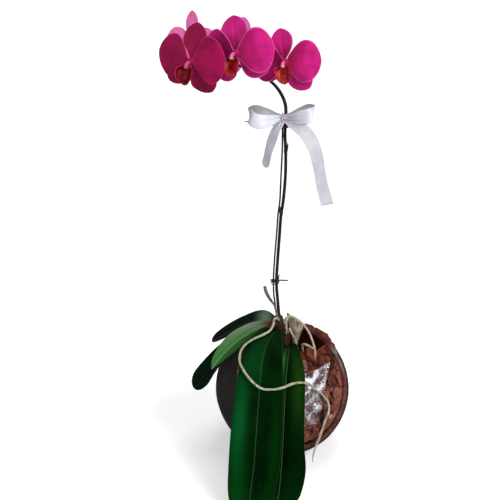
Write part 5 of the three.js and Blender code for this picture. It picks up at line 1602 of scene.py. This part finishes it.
def bloom_petals(spec, seed, foot):
    """The hub with two petals in front and three sepals behind.

    A low foot number makes the petals and the upper sepal broad where they start.
    """
    matrix = bloom_matrix(spec)
    hub = blob((0, 0, -1.9), (4.6, 4.6, 3.6), matrix, sides=28, rows=17, tint=0.5)
    hub["marks"]["rim"] = np.full(len(hub["points"]), 12.0)
    return [hub, tepal(matrix, *spec["dorsal"], seed=seed, wave=0.7, **{**SEPAL, "slim": foot}),
            *[tepal(matrix, *size, seed=seed + 2 + k, **{**PETAL, "slim": foot})
              for k, size in enumerate(spec["petals"])],
            *[tepal(matrix, *size, seed=seed + 5 + k, wave=0.9, **LATERAL)
              for k, size in enumerate(spec["laterals"])]]


print("a petal is widest at this share of its length:", PETAL["peak"])

# %% [markdown]
# The lip is a red trough with two side lobes and a narrow tip. It could be sculpted, but rows
# of arcs are easier to size: each has a radius, an opening angle and a place along the lip.
# The column that nods over it is a short tube with an egg for its cap.


# %% Lip and column
def lip_part(matrix, seed, rows=72, columns=45):
    """The lip as a trough: each row is an arc of angle v x spread and some radius, open in front.

    Up the trough the arc widens to the two side lobes, narrows to a neck and ends in a tip.
    """
    u, v = np.meshgrid(np.linspace(0, 1, rows), np.linspace(-1, 1, columns), indexing="ij")
    radius = along([2.2, 6.5, 9, 10.2, 10.2, 9.8, 9, 7.6, 5.8, 1.6], u)
    spread = along([0.9, 1.4, 1.45, 1.4, 1.3, 1.2, 1.1, 1.05, 1, 0.7], u)
    lobed = 1 + 0.05 * waves(np.stack([u * 20, v * 8, 0 * u + seed], -1), 9, seed)
    angle = v * spread * lobed
    floor_y = -2.75 - 25 * u + 3 * u ** 2
    floor_z = 4.2 + 9.5 * np.sin(u * 2.1) - 1.8 * u ** 2
    ruffle = 0.35 * waves(np.stack([u * 22, v * 10, 0 * u + seed], -1), 8, seed + 1) * np.abs(v) ** 3
    x = np.sin(angle) * radius
    z = floor_z + (1 - np.cos(angle)) * radius * 0.8 + ruffle
    y = floor_y + 0.9 * np.abs(v) ** 2 * along([0, 2.5, 4.5, 4.5, 3, 1, 0.6, 0.8, 0.5, 0], u) + 0.3 * ruffle
    rim = np.minimum(radius * spread * (1 - np.abs(v)), np.minimum(u * 22, (1 - u) * 24))
    grid = placed(matrix, np.stack([x, y, z], -1))
    return thin_body(grid, 0.9 * np.sqrt(np.clip(rim / 0.8, 0, 1)),
                     {"along": u, "across": v, "rim": rim, "around": angle * 4})


def callus(matrix):
    """The small two-humped crest in the throat of the lip."""
    return [blob((x, -4.6, 9.6), (1.5, 2.0, 1.9), matrix, sides=16, rows=11, tint=1.0, seed=5)
            for x in (-1.3, 1.3)]


def column_part(matrix):
    """A thick short stem that nods over the lip, and its cap."""
    rows = placed(matrix, [(0, 0.4, 1.2), (0, 0.3, 5), (0, -0.6, 8.8), (0, -2.2, 11.6), (0, -3.4, 12.9)])
    size = matrix.to_scale()[0]
    body = tube(rows, np.array([2.2, 2.2, 2.3, 2.4, 1.6]) * size, sides=24, rows=48,
                swell=lambda grid, u: 0.04 * waves(grid, 5, 141))
    cap = blob((0, -3.2, 12.2), (2.0, 1.6, 1.6), matrix, sides=20, rows=13, tint=1.0, seed=7)
    return [body, cap]


print("points of a lip:", len(lip_part(bloom_matrix(BLOOMS["bloom_left"]), 300)["points"]))

# %% [markdown]
# Petals are velvety, with a deeper throat, fine veins that fan out, a paler rim and a pale
# back. Sheen gives the velvet. One finish with other colours serves all the blooms. The lips
# are red with fine yellow lines, and the columns are waxy, so light goes a little into them.


# %% Finishes of the blooms
def petal_finish(name, deep, full, rim, back, throat):
    """Velvety petal: deeper towards the throat, branching veins, a paler rim and back."""
    material, tree, surface, place = finish(
        name, Specular_IOR_Level=0.1, Sheen_Weight=0.04, Sheen_Roughness=0.4, Sheen_Tint=(1, 0.4, 0.75, 1))
    u, across = mark(tree, "along"), mark(tree, "sideways")
    fan = sums(tree, "DIVIDE", across, sums(tree, "ADD", sums(tree, "POWER", u, 0.6), 0.25))
    veins = streaks(tree, joined_vector(tree, times(tree, u, 1.6), fan), (1, 1.1, 1), 0.4, 0.6)
    patches = clouds(tree, place, 42, 0.35, 0.65)
    colour = mixed(tree, patches, deep, full)
    colour = mixed(tree, times(tree, veins, 0.14), colour, deep)
    near = remap(tree, u, 0.66, 0.03)
    colour = mixed(tree, times(tree, near, 0.8), colour, throat)
    pale = times(tree, remap(tree, mark(tree, "rim"), 2.2, 0.2), remap(tree, patches, 0, 1, 0.35, 0.7))
    colour = mixed(tree, pale, colour, rim)
    behind = mixed(tree, veins, back, tuple(0.75 * value for value in back))
    colour = mixed(tree, remap(tree, mark(tree, "under"), 0.45, 0.95), colour, behind)
    grains = specks(tree, place, 2200, 0.5)
    coat(tree, surface, colour, veins, 0.56, 0.44)
    height = sums(tree, "ADD", times(tree, veins, -1.0), times(tree, grains, 0.25))
    relief(tree, surface, height, 0.0001)
    return material


def lip_finish(name, dark, bright, streak, rim, tip_share):
    """Red throat with fine yellow-orange lines along it, a pink margin and tip, a dotted crest."""
    material, tree, surface, place = finish(name, Roughness=0.45, Specular_IOR_Level=0.12)
    u, v = mark(tree, "along"), mark(tree, "across")
    vector = joined_vector(tree, times(tree, u, 1.7), times(tree, mark(tree, "around"), 0.95))
    lines = streaks(tree, vector, (1, 2.1, 1), 0.54, 0.64)
    patches = clouds(tree, place, 170, 0.4, 0.6)
    colour = mixed(tree, patches, dark, bright)
    inside = sums(tree, "SUBTRACT", 1.0, mark(tree, "under"))
    middle = remap(tree, unsigned(tree, v), 0.95, 0.55)
    lit = times(tree, times(tree, lines, middle), times(tree, inside, 0.55))
    colour = mixed(tree, lit, colour, streak)
    edge = remap(tree, mark(tree, "rim"), 1.8, 0.3)
    tip = remap(tree, u, 0.74, 0.9, 0.0, tip_share)
    colour = mixed(tree, times(tree, sums(tree, "MAXIMUM", edge, tip), 0.65), colour, rim)
    crest = mixed(tree, specks(tree, place, 1500, 0.4), (0.4, 0.06, 0.012), (0.3, 0.005, 0.01))
    colour = mixed(tree, remap(tree, mark(tree, "tint"), 0.5, 0.9), colour, crest)
    coat(tree, surface, colour, lines, 0.4, 0.52)
    relief(tree, surface, lines, 0.0001)
    return material


def column_finish(name, waxy, rosy, cap):
    """Waxy pink: rosier at the foot, palest at the cap."""
    material, tree, surface, place = finish(
        name, Roughness=0.4, Specular_IOR_Level=0.3, Subsurface_Weight=0.12,
        Subsurface_Radius=(0.003, 0.0015, 0.002), Subsurface_Scale=1.0)
    blush = clouds(tree, place, 150, 0.4, 0.62)
    foot = remap(tree, mark(tree, "along"), 0.85, 0.3)
    colour = mixed(tree, blush, waxy, rosy)
    colour = mixed(tree, times(tree, foot, 0.85), colour, (0.45, 0.03, 0.16))
    colour = mixed(tree, remap(tree, mark(tree, "tint"), 0.5, 0.9), colour, cap)
    coat(tree, surface, colour, blush, 0.36, 0.5)
    relief(tree, surface, blush, 0.0001)
    return material


MAGENTA = petal_finish("petal_magenta", (0.38, 0.006, 0.115), (0.63, 0.014, 0.225), (0.85, 0.17, 0.5),
                       (0.6, 0.1, 0.3), (0.26, 0.0025, 0.042))
# Painted shade: a darker copy of the petal finish for the left bloom, away from the key lamp.
PETAL_SHADED = petal_finish("petal_deep", (0.21, 0.002, 0.037), (0.35, 0.003, 0.076), (0.5, 0.035, 0.2),
                    (0.45, 0.06, 0.2), (0.26, 0.003, 0.048))
PALE = petal_finish("petal_pale", (0.5, 0.05, 0.24), (0.62, 0.1, 0.34), (0.7, 0.22, 0.45),
                    (0.74, 0.16, 0.42), (0.5, 0.03, 0.2))
LIP = lip_finish("lip_red", (0.17, 0.001, 0.005), (0.4, 0.003, 0.018), (0.85, 0.26, 0.02),
                 (0.46, 0.015, 0.12), 1.0)
# Painted shade: a darker lip for the left bloom.
LIP_SHADED = lip_finish("lip_shaded_red", (0.07, 0.0003, 0.001), (0.16, 0.0008, 0.004), (0.2, 0.004, 0.002),
                      (0.5, 0.02, 0.12), 0.3)
COLUMN = column_finish("column_pink", (0.72, 0.2, 0.4), (0.58, 0.09, 0.27), (0.85, 0.42, 0.55))
# Painted shade: a darker column for the left bloom.
COLUMN_SHADED = column_finish("column_shaded", (0.52, 0.06, 0.21), (0.42, 0.035, 0.16), (0.58, 0.1, 0.26))

print("finishes so far:", len(bpy.data.materials))

# %% [markdown]
# Each bloom has its own turn, tip and lean. The outer parts, the lip and the column are three
# pieces, as in the frame, because each has a finish of its own. The left bloom takes darker
# copies of the finishes, painted shade for the side away from the key lamp, and has slim
# petals; the others' petals are broad where they start.

# %% Set the blooms on their stalks
SLIM_FOOT, BROAD_FOOT = 0.85, 0.68
for number, (name, spec) in enumerate(BLOOMS.items()):
    matrix = bloom_matrix(spec)
    # The left bloom gets the shaded copies: painted shade.
    look, slot, foot, lip_look, column_look = (
        (PETAL_SHADED, "petal_deep", SLIM_FOOT, LIP_SHADED, COLUMN_SHADED) if name == "bloom_left"
        else (PALE, "petal_back", BROAD_FOOT, LIP, COLUMN) if "back" in name
        else (MAGENTA, "petal_magenta", BROAD_FOOT, LIP, COLUMN))
    piece(name + "_tepals", bloom_petals(spec, 200 + 20 * number, foot), look,
          replaces=[name + "_petals"])
    piece(name + "_lip_cup", [lip_part(matrix, 300 + number), *callus(matrix)], lip_look,
          replaces=[name + "_lip"])
    piece(name + "_column_cap", column_part(matrix), column_look,
          replaces=[name + "_column"])

# %% [markdown]
# ## Floor, light and camera
#
# A pale floor curves up into a pale wall. It glows a little towards the camera, more further
# back, because lamps strong enough to whiten it would bleach the plant. Three broad soft
# lamps and a pale surrounding light keep shadows soft.


# %% Stage
def sweep_floor(width=6.0, front=-2.5, back=2.2, bend=1.2, height=4.0):
    """A floor that bends up into a wall: level, then a quarter circle, then straight up."""
    turn = np.linspace(0, np.pi / 2, 24)
    y = np.concatenate([[front], back + np.sin(turn) * bend, [back + bend]])
    z = np.concatenate([[0], bend - np.cos(turn) * bend, [height]]) - 0.0002
    points = [(x, a, b) for a, b in zip(y, z) for x in (-width / 2, width / 2)]
    index = np.arange(len(points)).reshape(-1, 2)
    mesh = bpy.data.meshes.new("floor")
    mesh.from_pydata(points, [], grid_faces(index)[:, ::-1].tolist())
    mesh.polygons.foreach_set("use_smooth", [True] * len(mesh.polygons))
    floor = bpy.data.objects.new("floor", mesh)
    bpy.context.scene.collection.objects.link(floor)
    material, tree, surface, place = finish("floor_white", Base_Color=(0.8, 0.8, 0.8, 1), Roughness=0.9,
                                            Specular_IOR_Level=0.1, Emission_Strength=1.0)
    y = add(tree, "ShaderNodeSeparateXYZ", Vector=place).outputs["Y"]
    seen = add(tree, "ShaderNodeLightPath").outputs["Is Camera Ray"]
    paint(tree, surface, Emission_Color=times(tree, seen, remap(tree, y, 0.0, 2.4, 0.42, 0.85)))
    floor.data.materials.append(material)
    floor.visible_glossy = False


def lamp(name, place, aim, size, power, colour=(1, 1, 1)):
    """A square soft lamp that looks at a point."""
    light = bpy.data.lights.new(name, "AREA")
    light.size, light.energy, light.color = size, power, colour
    made = bpy.data.objects.new(name, light)
    made.location = place
    made.rotation_euler = (Vector(aim) - Vector(place)).to_track_quat("-Z", "Y").to_euler()
    bpy.context.scene.collection.objects.link(made)


def surrounding_light(strength=0.2, colour=(0.93, 0.95, 1.0, 1)):
    """A weak, slightly cool light from all around."""
    world = bpy.data.worlds.new("studio")
    bpy.context.scene.world = world
    world.use_nodes = True
    world.node_tree.nodes["Background"].inputs["Color"].default_value = colour
    world.node_tree.nodes["Background"].inputs["Strength"].default_value = strength


sweep_floor()
surrounding_light()
lamp("key", (1.2, -1.2, 1.5), (0, 0, 0.3), 0.9, 36)
lamp("fill", (-1.3, -1.3, 1.1), (0, 0, 0.3), 1.0, 13, (0.97, 0.98, 1))
lamp("top", (0.2, 0.2, 1.8), (0, 0, 0.3), 0.9, 12)
print("lamps:", [(light.name, light.energy) for light in bpy.data.lights])

# %% [markdown]
# The camera stands level with the blooms and looks down on the pot, as in the photograph.
# The Standard view keeps the colours as they were mixed.

# %% Camera
CAMERA_PLACE = (-0.044617, -0.886, 0.53644)
LOOKS_DOWN = 15.966      # degrees below level
view = bpy.data.cameras.new("camera")
view.sensor_width = 36.0
view.lens = 50.4
camera = bpy.data.objects.new("camera", view)
camera.location = CAMERA_PLACE
camera.rotation_euler = (math.radians(90 - LOOKS_DOWN), 0, 0)
bpy.context.scene.collection.objects.link(camera)
bpy.context.scene.camera = camera
bpy.context.scene.view_settings.view_transform = "Standard"
print("camera angle of view in degrees:", round(math.degrees(view.angle), 1))
